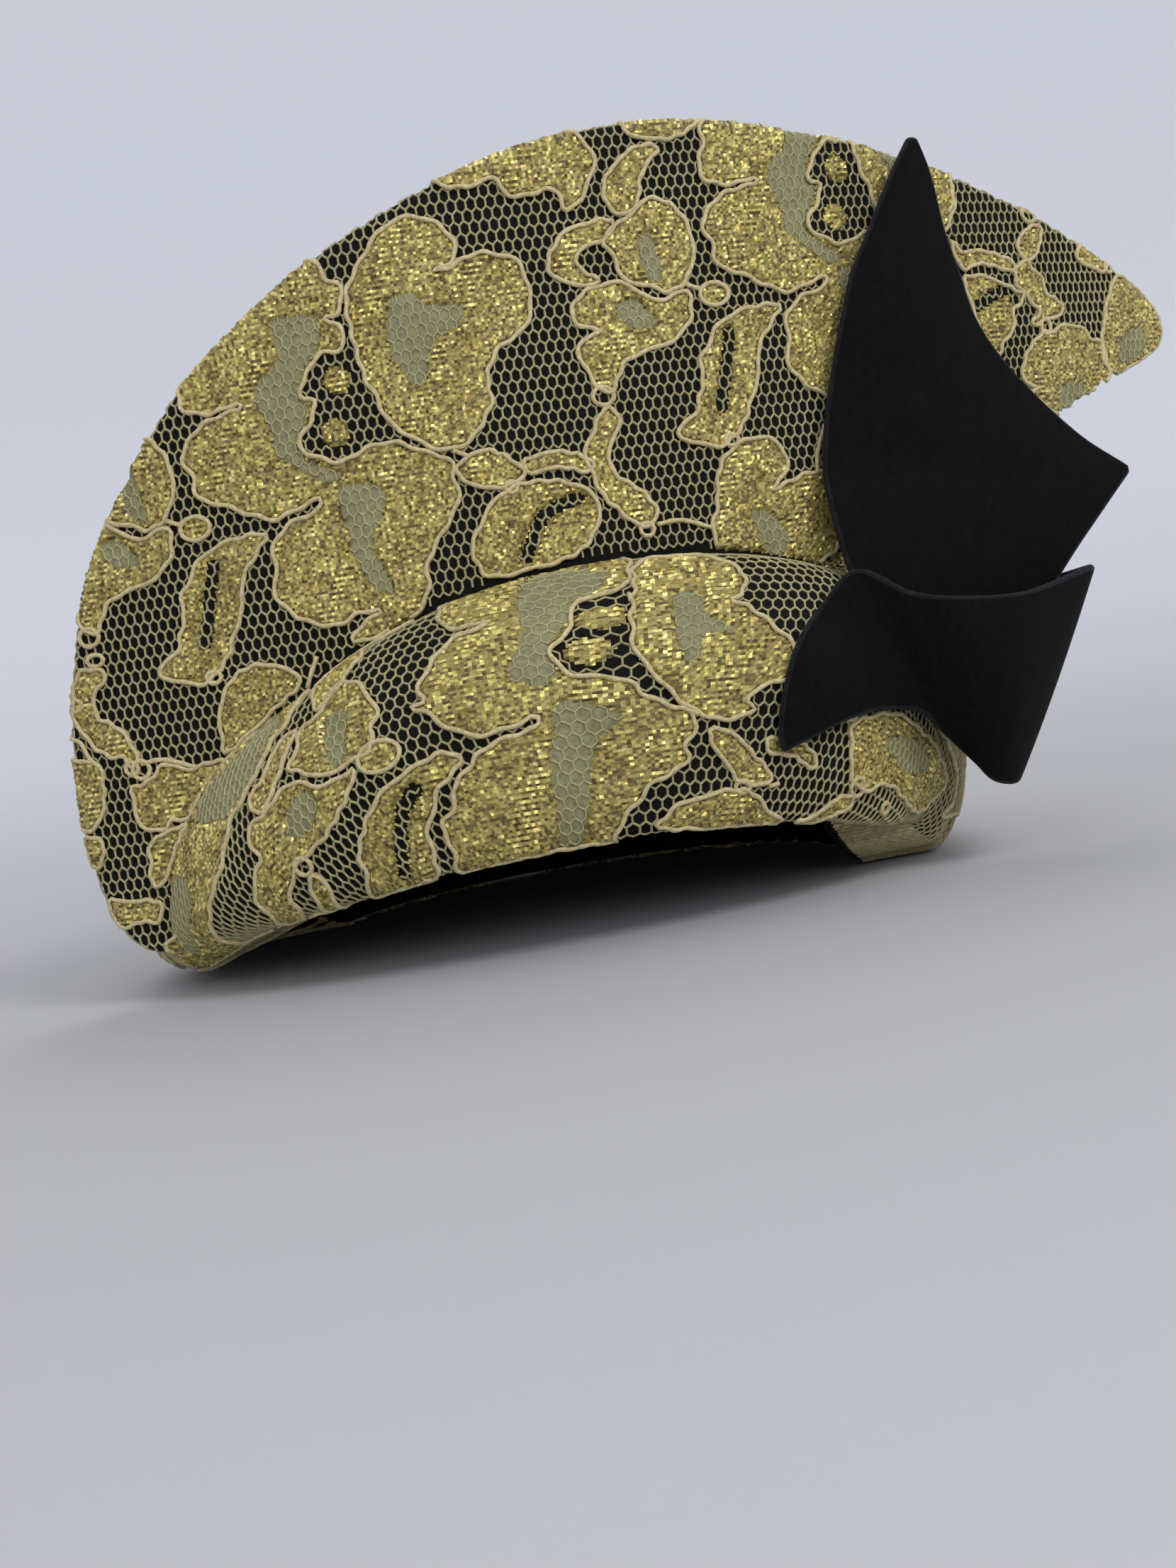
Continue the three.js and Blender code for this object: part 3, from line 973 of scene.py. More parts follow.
class CrownChart:
    """The crown's wall and lip unrolled like a cone: the way from the apex and a narrowed plan angle."""

    STEP = 0.5
    ANGLES = 721
    DOME_LEVELS = 90
    SIDE_LEVELS = 50
    LIP_LEVELS = 25
    SPARE_WAY = 4
    APEX_ROWS = 4
    span = ((-190.0, 190.0), (-152.0, 150.0))

    def __init__(self):
        self.angle = np.linspace(-math.pi, math.pi, self.ANGLES)
        dome = np.linspace(1, 0, self.DOME_LEVELS)[:-1]
        levels = np.concatenate([dome, np.linspace(0, -1, self.SIDE_LEVELS)])
        wall = crown_wall(self.angle[:, None], levels[None, :])
        edge_x, edge_y = plan_point(
            self.angle, OPENING_HALF_WIDTH, OPENING_HALF_WIDTH, OPENING_FRONT, OPENING_BACK)
        rise = LIP_RISE * smooth_step(*LIP_RISE_FROM, np.cos(self.angle + LIP_TURN))
        edge = np.stack([edge_x, edge_y, rim_height(self.angle) + rise], -1)
        part = np.linspace(0, 1, self.LIP_LEVELS)[1:]
        lip = wall[:, -1:] + (edge - wall[:, -1])[:, None] * part[None, :, None]
        chain = np.concatenate([wall, lip], 1)
        way = np.cumsum(np.linalg.norm(np.diff(chain, axis=1), axis=-1), 1)
        way = np.concatenate([np.zeros((self.ANGLES, 1)), way], 1)
        self.length = way[:, -1]
        self.rim = way[:, len(levels) - 1]
        grid = np.arange(0, self.length.max() + self.SPARE_WAY, self.STEP)
        self.points = np.empty((self.ANGLES, len(grid), 3))
        for i in range(self.ANGLES):
            for k in range(3):
                self.points[i, :, k] = np.interp(grid, way[i], chain[i, :, k])
        facing = np.sum((self.points - CAMERA_PLACE) * self.find_normals(), -1) < 0
        self.facing = np.argwhere(facing & (grid[None, :] <= self.rim[:, None]))
        self.seen = in_photo(self.points[tuple(self.facing.T)])
        self.shape_cloth(grid)

    def shape_cloth(self, grid):
        normals = self.find_normals()
        x, y, z = np.moveaxis(self.points, -1, 0)
        gap = (y - halo_depth(x, z)) / GROOVE_WIDTH
        left = smooth_step(*GROOVE_LEFT_END, -x)
        drawn = GROOVE_DEPTH * np.exp(-gap**2) * (1 - smooth_step(*GROOVE_RIGHT_END, x)) * (1 - left)
        drawn = drawn - PUFF_DEPTH * left * smooth_step(*PUFF_HEIGHTS, z)
        angle = self.angle[:, None]
        ease = np.exp(-((angle - TUCK_MIDDLE) / TUCK_SPREAD) ** 2)
        low = smooth_step(*TUCK_SHARES, grid[None, :] / self.rim[:, None])
        wander = TUCK_WANDER * np.sin(TUCK_WANDER_COUNT * angle)
        fold = (0.5 + 0.5 * np.cos(TUCK_COUNT * angle + wander)) ** TUCK_SHARPNESS
        drawn = drawn + TUCK_DEPTH * ease * low * fold
        self.points = self.points - normals * drawn[..., None]
        self.normals = self.find_normals()

    def find_normals(self):
        across = np.gradient(self.points, axis=0)
        across[0] = across[-1] = self.points[1] - self.points[-2]
        down = np.gradient(self.points, axis=1)
        normals = unit(np.cross(down, across))
        normals[:, :self.APEX_ROWS] = (0, 0, 1)
        return normals

    def wall(self, angle, way, lift):
        column = (angle + math.pi) / (2 * math.pi) * (self.ANGLES - 1)
        row = way / self.STEP
        i = np.clip(column.astype(int), 0, self.ANGLES - 2)
        j = np.clip(row.astype(int), 0, self.points.shape[1] - 2)
        s = np.clip(column - i, 0, 1)[..., None]
        t = np.clip(row - j, 0, 1)[..., None]
        corners = cell_corners(i, j, s, t)
        place = sum(self.points[a, b] * share for a, b, share in corners)
        normal = unit(sum(self.normals[a, b] * share for a, b, share in corners))
        return place + normal * np.asarray(lift)[..., None], normal

    def from_photo(self, pixels):
        """The spots of the chart that are seen at pixels of the photograph."""
        nearest = [np.argmin(np.hypot(*(self.seen - pixel).T)) for pixel in pixels]
        column, row = self.facing[nearest].T
        turn = CONE * self.angle[column]
        return (row * self.STEP)[:, None] * np.stack([np.sin(turn), -np.cos(turn)], -1)

    def at(self, spots, lift):
        angle = np.clip(cone_angle(spots), -math.pi, math.pi)
        return self.wall(angle, np.linalg.norm(spots, axis=1), lift)

    def covers(self, spots, lap=0.0):
        """Which spots lie on the crown, or no further past the seam at the back than the lap."""
        angle = cone_angle(spots)
        way = np.linalg.norm(spots, axis=1)
        end = np.interp(angle, self.angle, self.length)
        return (np.abs(angle) <= math.pi + lap / (1 + CONE * way)) & (way < end - RIM_MARGIN)

    def holds(self, starts, ends):
        """Which strands lie on the crown, with those over the back seam cut off at it."""
        whole = self.covers(starts, NET_PITCH) & self.covers(ends, NET_PITCH)
        return whole & (self.covers(starts) | self.covers(ends))


class HaloChart:
    """One face of the brim rolled out flat, on over its edge: the way along its sweep and the height."""

    span = ((-137.0, 199.0), (-2.0, 192.0))

    def __init__(self, side, turn_limit):
        self.side = side
        self.run_limit = HALO_HALF * turn_limit

    def seen(self, spots):
        return np.stack([np.interp(spots[:, 0], HALO_WAY, HALO_X), spots[:, 1]], -1)

    def at(self, spots, lift):
        spots = self.seen(spots)
        reach, out = halo_field.at(spots)
        run = np.maximum(0, reach + HALO_HALF)
        base = spots - out * run[:, None]
        slope_x = halo_slope(base[:, 0])
        ones = np.ones(len(spots))
        face = self.side * unit(np.stack([slope_x, -ones, HALO_LEAN * ones], -1))
        outward = unit(np.stack([out[:, 0], slope_x * out[:, 0] + HALO_LEAN * out[:, 1], out[:, 1]], -1))
        turn = (run / HALO_HALF)[:, None]
        normal = np.cos(turn) * face + np.sin(turn) * outward
        return brim_middle(base) + normal * (HALO_HALF + np.asarray(lift))[..., None], normal

    def covers(self, spots):
        spots = self.seen(spots)
        reach, _ = halo_field.at(spots)
        clear = depth_in_crown(brim_middle(spots)) < HALO_SEAT - SEAT_MARGIN
        return (reach + HALO_HALF < self.run_limit) & clear

    def holds(self, starts, ends):
        return self.covers(starts) & self.covers(ends)


# Meshes
def add_object(name, data):
    made = bpy.data.objects.new(name, data)
    bpy.context.scene.collection.objects.link(made)
    return made


def mesh_piece(name, points, faces, materials, smooth=True, slots=None):
    """A mesh object from points in millimetres and arrays of triangles or quads."""
    mesh = bpy.data.meshes.new(name)
    faces = [np.asarray(block) for block in faces if len(block)]
    corners = np.concatenate([block.ravel() for block in faces])
    sizes = np.concatenate([np.full(len(block), block.shape[1]) for block in faces])
    starts = running(sizes)[:-1]
    mesh.vertices.add(len(points))
    mesh.vertices.foreach_set("co", (np.asarray(points) * MM + HAT_ORIGIN).ravel())
    mesh.loops.add(len(corners))
    mesh.loops.foreach_set("vertex_index", corners.astype(np.int32))
    mesh.polygons.add(len(sizes))
    mesh.polygons.foreach_set("loop_start", starts.astype(np.int32))
    mesh.polygons.foreach_set("use_smooth", np.full(len(sizes), smooth))
    for material in materials:
        mesh.materials.append(material)
    if slots is not None:
        mesh.polygons.foreach_set("material_index", np.asarray(slots, np.int32))
    mesh.update(calc_edges=True)
    piece = add_object(name, mesh)
    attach(piece, "root")
    return piece


def ring_quads(index):
    """Quads between the rows of a grid of point numbers whose columns close into rings."""
    beside = np.roll(index, -1, axis=1)
    return np.stack([index[:-1], index[1:], beside[1:], beside[:-1]], -1).reshape(-1, 4)


def grid_quads(rows, columns, offset=0, flip=False):
    index = offset + np.arange(rows * columns).reshape(rows, columns)
    quads = np.stack([index[:-1, :-1], index[1:, :-1], index[1:, 1:], index[:-1, 1:]], -1).reshape(-1, 4)
    return quads[:, ::-1] if flip else quads


def rounded_sheet(name, grid, half, materials):
    """A closed sheet about a grid of points, with a half-round edge beyond its border."""
    rows, columns = grid.shape[:2]
    normal = unit(np.cross(np.gradient(grid, axis=0), np.gradient(grid, axis=1)))
    index = np.arange(rows * columns).reshape(rows, columns)
    loop = np.concatenate([index[:-1, 0], index[-1, :-1], index[:0:-1, -1], index[0, :0:-1]])
    border = grid.reshape(-1, 3)[loop]
    border_normal = normal.reshape(-1, 3)[loop]
    out = unit(np.cross(ahead_round(border), border_normal))
    turns = np.linspace(math.pi / 2, -math.pi / 2, ROUND_STEPS + 1)[1:-1]
    arcs = [border + half * (math.cos(t) * out + math.sin(t) * border_normal) for t in turns]
    flat = rows * columns
    faces = [(grid + side * half * normal).reshape(-1, 3) for side in (1, -1)]
    points = np.concatenate([*faces, *arcs])
    rounds = 2 * flat + np.arange(len(arcs) * len(loop)).reshape(len(arcs), len(loop))
    strips = [loop, *rounds, flat + loop]
    edge = [np.stack([a, b, np.roll(b, -1), np.roll(a, -1)], -1) for a, b in zip(strips, strips[1:])]
    front = grid_quads(rows, columns)
    faces = [front, grid_quads(rows, columns, flat, flip=True), *edge]
    slots = np.zeros(sum(len(block) for block in faces))
    # The rounded edge takes the last material, which for the felt is its cut edge with painted sheen
    slots[2 * len(front):] = len(materials) - 1
    return mesh_piece(name, points, faces, materials, slots=slots)


# The lace
class Lace:
    """The lace of one chart: which cells of a fine grid are net, gold or plain ground, and its cords."""

    NET, GOLD, PLAIN = range(3)

    def __init__(self, chart):
        self.chart = chart
        low, high = np.array(chart.span).T
        self.low = low
        self.kind = np.zeros(np.ceil((high - low) / FILL_STEP).astype(int), np.int8)
        # Plain ground cells that take the turned-under look, which is paler partly by painted light
        self.under = np.zeros(self.kind.shape, int)
        self.cords = []

    def middles(self, cells):
        return self.low + (cells + 0.5) * FILL_STEP

    def cells_at(self, spots):
        return np.clip((spots - self.low) // FILL_STEP, 0, np.array(self.kind.shape) - 1).astype(int)

    def cells_in(self, outline):
        first = self.cells_at(outline.min(0))
        last = np.clip((outline.max(0) - self.low) // FILL_STEP + 1, 1, self.kind.shape).astype(int)
        cells = first + np.indices(last - first).reshape(2, -1).T
        return cells[inside_outline(self.middles(cells), outline)]

    def paint(self, outline, kind):
        self.kind[tuple(self.cells_in(outline).T)] = kind

    def taken(self, outline):
        cells = self.cells_in(outline)
        if not len(cells):
            return 0.0
        return float(np.mean(self.kind[tuple(cells.T)] != self.NET))

    def kind_at(self, spots):
        return self.kind[tuple(self.cells_at(spots).T)]

    def add_motif(self, motif, transform):
        outline = waved(smooth_run(transform(motif["outline"]), True, CORD_STEP))
        if not self.chart.covers(outline).any() or self.taken(outline) > OVERLAP_LIMIT:
            return
        self.paint(outline, self.GOLD)
        for plain in motif["plains"]:
            self.paint(smooth_run(transform(plain), True, CORD_STEP), self.PLAIN)
        for slit in motif["slits"]:
            for spot in smooth_run(transform(slit), False, SLIT_STEP):
                self.paint(oval(spot, SLIT_HALF, SLIT_HALF), self.NET)
        for dot in motif["dots"]:
            self.paint(transform(oval(dot, DOT_RADIUS, DOT_RADIUS)), self.GOLD)
        self.cords.append((outline, True))

    def add_set(self, motifs, rings, joins, transform):
        for motif in motifs.values():
            self.add_motif(motif, transform)
        for x, y, half_width, half_height in rings:
            ring = smooth_run(transform(oval((x, y), half_width, half_height)), True, CORD_STEP)
            if self.taken(ring) > HIDDEN_LIMIT:
                continue
            if half_width >= FILLED_RING:
                self.paint(ring, self.GOLD)
            self.cords.append((ring, True))
        for join in joins:
            run = smooth_run(transform(join), False, CORD_STEP)
            if np.mean(self.kind_at(run) != self.NET) < HIDDEN_LIMIT:
                self.cords.append((run, False))


def oval(center, half_width, half_height):
    turn = np.linspace(0, 2 * math.pi, OVAL_POINTS, endpoint=False)
    return np.asarray(center) + np.stack([half_width * np.cos(turn), half_height * np.sin(turn)], -1)


def waved(run):
    """A closed run with the small scallops of a cord that is sewn down by hand."""
    ahead = ahead_round(run[:-1])
    beside = unit(np.stack([-ahead[:, 1], ahead[:, 0]], -1))
    waves = round((len(run) - 1) * CORD_STEP / CORD_WAVE_LENGTH)
    turn = 2 * math.pi * np.arange(len(run) - 1) / (len(run) - 1)
    push = CORD_WAVE * np.sin(waves * turn + CORD_WAVE_DRIFT * np.sin(CORD_WAVE_DRIFTS * turn))
    run = run[:-1] + beside * push[:, None]
    return np.vstack([run, run[:1]])


def charted(motifs, rings, joins, crop, place):
    """Motifs, rings and joins taken from a crop of the photograph to the lace's millimetres."""
    left, top, scale = crop

    def placed(pixels):
        return place(np.array((left, top)) + scale * np.array(pixels, float))

    made = {}
    for name, motif in motifs.items():
        made[name] = {part: [placed(run) for run in motif.get(part, [])] for part in ("plains", "slits")}
        made[name]["outline"] = placed(motif["outline"])
        made[name]["dots"] = placed(motif["dots"]) if "dots" in motif else []
    size = scale / PIXELS_PER_MM
    ovals = [(*placed([middle])[0], size * width, size * height) for *middle, width, height in rings]
    return made, ovals, [placed(join) for join in joins]


HALO_SET = charted(HALO_MOTIFS, HALO_RINGS, HALO_JOINS, WHOLE_PHOTO, on_brim)
END_SETS = [
    charted(LEFT_END_MOTIFS, LEFT_END_RINGS, LEFT_END_JOINS, LEFT_END_CROP, on_brim),
    charted(RIGHT_END_MOTIFS, RIGHT_END_RINGS, RIGHT_END_JOINS, RIGHT_END_CROP, on_brim),
]


def moved(offset):
    return lambda points: np.asarray(points, float) + offset


def onto_crown(offset):
    """The brim's chart, moved by an offset, carried over to the crown's chart."""
    turn = np.array([
        (math.cos(CROWN_LACE_TURN), math.sin(CROWN_LACE_TURN)),
        (-math.sin(CROWN_LACE_TURN), math.cos(CROWN_LACE_TURN)),
    ])

    def placed(points):
        return CROWN_LACE_SCALE * (np.asarray(points, float) + offset) @ turn + CROWN_LACE_OFFSET

    return placed


def repeats(reach):
    """Whole numbers of repeats both ways, the nearest first."""
    steps = [(i, j) for i in range(-reach, reach + 1) for j in range(-reach, reach + 1)]
    return sorted(steps, key=lambda step: (abs(step[0]) + abs(step[1]), step))


def halo_lace(chart, offset, ends):
    lace = Lace(chart)
    for end in END_SETS if ends else []:
        lace.add_set(*end, moved(0))
    for step in repeats(HALO_REPEATS):
        lace.add_set(*HALO_SET, moved(np.array(step) @ LACE_REPEAT + offset))
    return lace


def turn_under(lace):
    """Plain cloth where the crown rolls in under the right half of its rim, marked to take the paler
    ground with painted light.
    """
    spots = lace.middles(np.indices(lace.kind.shape).reshape(2, -1).T)
    angle = cone_angle(spots)
    rim = np.interp(angle, lace.chart.angle, lace.chart.rim)
    start = rim - TURN_UNDER * smooth_step(*TURN_UNDER_START, angle) + TURN_UNDER_MARGIN
    under = (angle > TURN_UNDER_REACH[0]) & (angle < TURN_UNDER_REACH[1])
    under &= (np.linalg.norm(spots, axis=1) > start) & (lace.kind.ravel() == lace.NET)
    lace.kind.ravel()[under] = lace.PLAIN
    lace.under.ravel()[under] = 1


def scatter_sprigs(lace):
    """Single motifs of the repeat in the open net that is left round the sides and back of the crown."""
    (p0, p1), (q0, q1) = lace.chart.span
    for x in np.arange(p0, p1, SPRIG_STEP):
        for y in np.arange(q0, q1, SPRIG_STEP):
            spot = np.array([[x, y]])
            if abs(cone_angle(spot)[0]) < SPRIG_START or not lace.chart.covers(spot)[0]:
                continue
            for motif in (HALO_SET[0][name] for name in SPRIGS):
                outline = motif["outline"]
                middle = outline.mean(0)
                if lace.taken(spot + SPRIG_ROOM * (outline - middle)) == 0:
                    lace.add_motif(motif, moved(spot - middle))
                    break


def crown_lace(chart):
    lace = Lace(chart)
    shown = charted(CROWN_MOTIFS, CROWN_RINGS, CROWN_JOINS, WHOLE_PHOTO, chart.from_photo)
    lace.add_set(*shown, moved(0))
    turn_under(lace)
    for step in repeats(CROWN_REPEATS):
        lace.add_set(*HALO_SET, onto_crown(np.array(step) @ LACE_REPEAT))
    scatter_sprigs(lace)
    return lace


def fill_piece(lace, name, kind, lifts, slots, materials, flip):
    """The cells of one kind as a knitted patch whose border turns down to the cloth."""
    shape = np.array(lace.kind.shape)
    cells = np.argwhere(lace.kind == kind)
    cells = cells[lace.chart.covers(lace.middles(cells))]
    kept = np.zeros(shape + 2, bool)
    kept[cells[:, 0] + 1, cells[:, 1] + 1] = True
    whole = kept[:-1, :-1] & kept[1:, :-1] & kept[:-1, 1:] & kept[1:, 1:]
    corners = cells[:, None, :] + np.array([(0, 0), (1, 0), (1, 1), (0, 1)])
    if flip:
        corners = corners[:, ::-1]
    nodes, faces = np.unique(corners[..., 0] * (shape[1] + 1) + corners[..., 1], return_inverse=True)
    i, j = nodes // (shape[1] + 1), nodes % (shape[1] + 1)
    lift = np.where(whole[i, j], lifts[i, j], FILL_BORDER_LIFT)
    points, _ = lace.chart.at(lace.low + np.stack([i, j], -1) * FILL_STEP, lift)
    slots = slots[tuple(cells.T)]
    return mesh_piece(name, points, [faces.reshape(-1, 4)], materials, smooth=False, slots=slots)


def knit_lifts(shape):
    """Heights of the knitted gold: courses of two rows, each stitch a little askew."""
    rise = np.array(KNIT_RISE)[np.arange(shape[1] + 1) % 2]
    return FILL_LIFT + rise[None, :] + FILL_JITTER * random.random((shape[0] + 1, shape[1] + 1))


def knit_slots(shape):
    """Which gold look shows in each cell: wandering courses of two rows and upright wales, with painted
    glints in the bright cells and painted shade in the gaps.
    """
    i, j = np.indices(shape)
    wander, along, across = WALE_WANDER
    wale = (i + np.round(wander * np.sin(j / along + i / across))) % KNIT_WALE == 0
    wander, along, across = COURSE_WANDER
    course = (j + np.round(wander * np.sin(i / along - j / across))) % 2
    limits = np.cumsum(KNIT_COURSE, axis=-1)[wale.astype(int), course.astype(int)]
    return (random.random(shape)[..., None] > limits[..., :2]).sum(-1)


def net_piece(lace, name, material):
    """A hexagon net of small three-sided strands wherever the lace has no gold."""
    (p0, p1), (q0, q1) = lace.chart.span
    rows = np.arange(q0, q1, NET_ROW)
    columns = np.arange(p0, p1, NET_PITCH)
    p, q = np.meshgrid(columns, rows, indexing="ij")
    p = (p + NET_PITCH / 2 * (np.arange(len(rows)) % 2)).ravel()
    q = q.ravel()
    half, side = NET_UPRIGHT / 2, NET_PITCH / 2
    peak = NET_ROW - half
    cell_edges = (((side, -half), (side, half)), ((side, half), (0, peak)), ((-side, half), (0, peak)))
    starts = np.concatenate([np.stack([p + a[0], q + a[1]], -1) for a, _ in cell_edges])
    ends = np.concatenate([np.stack([p + b[0], q + b[1]], -1) for _, b in cell_edges])
    keep = np.isin(lace.kind_at((starts + ends) / 2), (lace.NET, lace.PLAIN))
    keep &= lace.chart.holds(starts, ends)
    starts, ends = starts[keep], ends[keep]
    lift = np.full(len(starts), NET_LIFT)
    first, normal = lace.chart.at(starts, lift)
    second, _ = lace.chart.at(ends, lift)
    across = unit(np.cross(second - first, normal)) * NET_HALF_WIDTH
    up = normal * NET_LIFT
    corners = [across - 0.5 * up, up, -across - 0.5 * up]
    points = np.stack([end + corner for end in (first, second) for corner in corners], 1)
    strand = np.array([(0, 1, 4, 3), (1, 2, 5, 4), (2, 0, 3, 5)])
    faces = (np.arange(len(starts)) * 6)[:, None, None] + strand
    return mesh_piece(name, points.reshape(-1, 3), [faces.reshape(-1, 4)], [material])


def covered_stretches(chart, run, closed):
    """The parts of a run that lie on the chart, each with whether it is still a closed loop."""
    if closed:
        run = run[:-1]
    on = chart.covers(run)
    if on.all():
        return [(run, closed)]
    if closed:
        start = int(np.argmin(on))
        run, on = np.roll(run, -start, axis=0), np.roll(on, -start)
    breaks = np.flatnonzero(np.diff(on.astype(int))) + 1
    pieces = zip(np.split(run, breaks), np.split(on, breaks))
    return [(piece, False) for piece, shown in pieces if shown[0] and len(piece) > 2]


def cord_piece(lace, name, material):
    """Twisted cords along the outlines, joins and rings of the lace."""
    turn = np.arange(CORD_SIDES) * 2 * math.pi / CORD_SIDES
    points, sides, caps = [], [], []
    count = 0
    for run, closed in lace.cords:
        for spots, loop in covered_stretches(lace.chart, run, closed):
            middle, normal = lace.chart.at(spots, np.full(len(spots), CORD_LIFT))
            ahead = ahead_round(middle) if loop else np.gradient(middle, axis=0)
            across = unit(np.cross(ahead, normal))
            step = np.arange(len(spots))[:, None]
            radius = CORD_RADIUS * (1 + CORD_PLY * np.cos(2 * turn[None, :] - CORD_TWIST * step))
            ring = np.cos(turn)[:, None] * across[:, None] + np.sin(turn)[:, None] * normal[:, None]
            points.append((middle[:, None] + radius[..., None] * ring).reshape(-1, 3))
            index = count + np.arange(len(spots) * CORD_SIDES).reshape(-1, CORD_SIDES)
            count += index.size
            if loop:
                index = np.vstack([index, index[:1]])
            else:
                caps += [index[0], index[-1][::-1]]
            sides.append(ring_quads(index))
    faces = [np.concatenate(sides), np.array(caps).reshape(-1, CORD_SIDES)]
    return mesh_piece(name, np.concatenate(points), faces, [material])


def lace_pieces(name, lace, looks, flip=False):
    shape = lace.kind.shape
    flat = np.full((shape[0] + 1, shape[1] + 1), PLAIN_LIFT)
    knit = knit_lifts(shape), knit_slots(shape)
    pieces = [
        net_piece(lace, name + "_net", looks["thread"]),
        fill_piece(lace, name + "_gold", lace.GOLD, *knit, looks["gold"], flip),
        # Plain ground cells marked under take the turned-under look, which has painted light
        fill_piece(lace, name + "_ground", lace.PLAIN, flat, lace.under, looks["ground"], flip),
        cord_piece(lace, name + "_cord", looks["cord"]),
    ]
    return pieces


# The cloth under the lace
def crown_cloth(chart, materials):
    angle = np.linspace(-math.pi, math.pi, CLOTH_AROUND, endpoint=False)[None, :]
    length = np.interp(angle, chart.angle, chart.length)

    def rings(shares, lift):
        way = length * shares[:, None]
        return chart.wall(np.broadcast_to(angle, way.shape), way, np.full(way.shape, lift))[0]

    outer = rings(np.linspace(APEX_SHARE, 1, CLOTH_RINGS), 0.0)
    inner = rings(np.linspace(1, APEX_SHARE, LINING_RINGS), -CROWN_WALL)
    fold = (outer[-1] + inner[0]) / 2
    fold[:, :2] *= 1 - CROWN_WALL / 2 / np.linalg.norm(fold[:, :2], axis=-1, keepdims=True)
    stack = np.concatenate([outer, fold[None], inner])
    index = np.arange(stack.shape[0] * CLOTH_AROUND).reshape(-1, CLOTH_AROUND)
    quads = ring_quads(index)
    top = index.size
    apex = np.stack([outer[0].mean(0), inner[-1].mean(0)])
    first = np.stack([np.full(CLOTH_AROUND, top), index[0], np.roll(index[0], -1)], -1)
    last = np.stack([np.full(CLOTH_AROUND, top + 1), np.roll(index[-1], -1), index[-1]], -1)
    slots = np.zeros(len(quads) + 2 * CLOTH_AROUND)
    slots[CLOTH_RINGS * CLOTH_AROUND:len(quads)] = 1
    slots[-CLOTH_AROUND:] = 1
    points = np.concatenate([stack.reshape(-1, 3), apex])
    return mesh_piece("crown_cloth", points, [quads, first, last], materials, slots=slots)


def inset_spots(spots):
    """Spots of the brim's outline moved in to where its rounded edge starts."""
    for _ in range(SETTLE_ROUNDS):
        reach, out = halo_field.at(spots)
        spots = spots - out * np.maximum(0, reach + HALO_HALF)[:, None]
    return spots


def halo_cloth(materials):
    u = np.linspace(0, 1, HALO_ROWS)
    foot = inset_spots(halo_foot(u))
    edge = inset_spots(halo_edge(u))

    def between(share):
        return brim_middle(foot + (edge - foot) * share[:, None])

    low, high = np.zeros(HALO_ROWS), np.ones(HALO_ROWS)
    for _ in range(SEAT_ROUNDS):
        middle = (low + high) / 2
        deep = depth_in_crown(between(middle)) > HALO_SEAT
        low, high = np.where(deep, middle, low), np.where(deep, high, middle)
    grid = np.stack([between(low + (1 - low) * v) for v in np.linspace(0, 1, HALO_COLUMNS)], 1)
    return rounded_sheet("halo_cloth", grid, HALO_HALF, materials)


# The felt bow
def hump(share):
    return 4 * share * (1 - share)


def petal_surface(u, v):
    place = u * (len(PETAL_SECTIONS) - 1)
    cut = PETAL_CORNER_ROW
    left, right = PETAL_SECTIONS[:, :3], PETAL_SECTIONS[:, 3:]
    low = through_points(right[:cut + 1], np.clip(place / cut, 0, 1))
    high = through_points(right[cut:], np.clip((place - cut) / (len(right) - 1 - cut), 0, 1))
    right_edge = np.where((place < cut)[..., None], low, high)
    point = right_edge + (through_points(left, u) - right_edge) * v[..., None]
    point[..., 1] -= PETAL_BOW * hump(v) * np.sin(math.pi * u)
    return point


def wrap_surface(u, v):
    low = through_points(WRAP_SECTIONS[:, :3], u)
    high = through_points(WRAP_SECTIONS[:, 3:6], u)
    bow = through_points(WRAP_SECTIONS[:, 6:], u)[..., 0]
    point = low + (high - low) * v[..., None]
    point[..., 1] -= bow * hump(v)
    return point


def felt_piece(name, surface, rows, columns, materials):
    """A felt sheet about a surface, drawn in at its border by the rounding of its edge."""
    u = np.linspace(0, 1, rows)
    ends = surface(u, np.zeros(rows)), surface(u, np.ones(rows))
    width = np.linalg.norm(ends[1] - ends[0], axis=-1)
    margin = np.minimum(FELT_HALF / width, FELT_MARGIN_LIMIT)[:, None]
    v = margin + (1 - 2 * margin) * np.linspace(0, 1, columns)[None, :]
    middle = surface(u, np.full(rows, 0.5))
    length = np.linalg.norm(np.diff(middle, axis=0), axis=-1).sum()
    inset = FELT_HALF / length
    u = np.broadcast_to((inset + (1 - 2 * inset) * u)[:, None], v.shape)
    return rounded_sheet(name, surface(u, v), FELT_HALF, materials)


# Materials
def new_look(name, **settings):
    """A new material whose shader has the settings, with an underscore for a space in each name."""
    material = bpy.data.materials.new(name)
    material.use_nodes = True
    shader = material.node_tree.nodes["Principled BSDF"]
    for setting, value in settings.items():
        shader.inputs[setting.replace("_", " ")].default_value = value
    return material, shader


def node(material, kind, links=(), **settings):
    """Adds a node; settings are inputs, or properties where the name starts with an underscore."""
    made = material.node_tree.nodes.new(kind)
    for name, value in settings.items():
        if name.startswith("_"):
            setattr(made, name[1:], value)
        else:
            made.inputs[name].default_value = value
    for source, target in links:
        material.node_tree.links.new(source, made.inputs[target])
    return made


def object_place(material, scale=(1.0, 1.0, 1.0)):
    place = node(material, "ShaderNodeTexCoord").outputs["Object"]
    return node(material, "ShaderNodeMapping", [(place, "Vector")], Scale=scale).outputs["Vector"]


def noise(material, place, scale, detail):
    made = node(material, "ShaderNodeTexNoise", [(place, "Vector")], Scale=scale, Detail=detail)
    return made.outputs["Fac"]


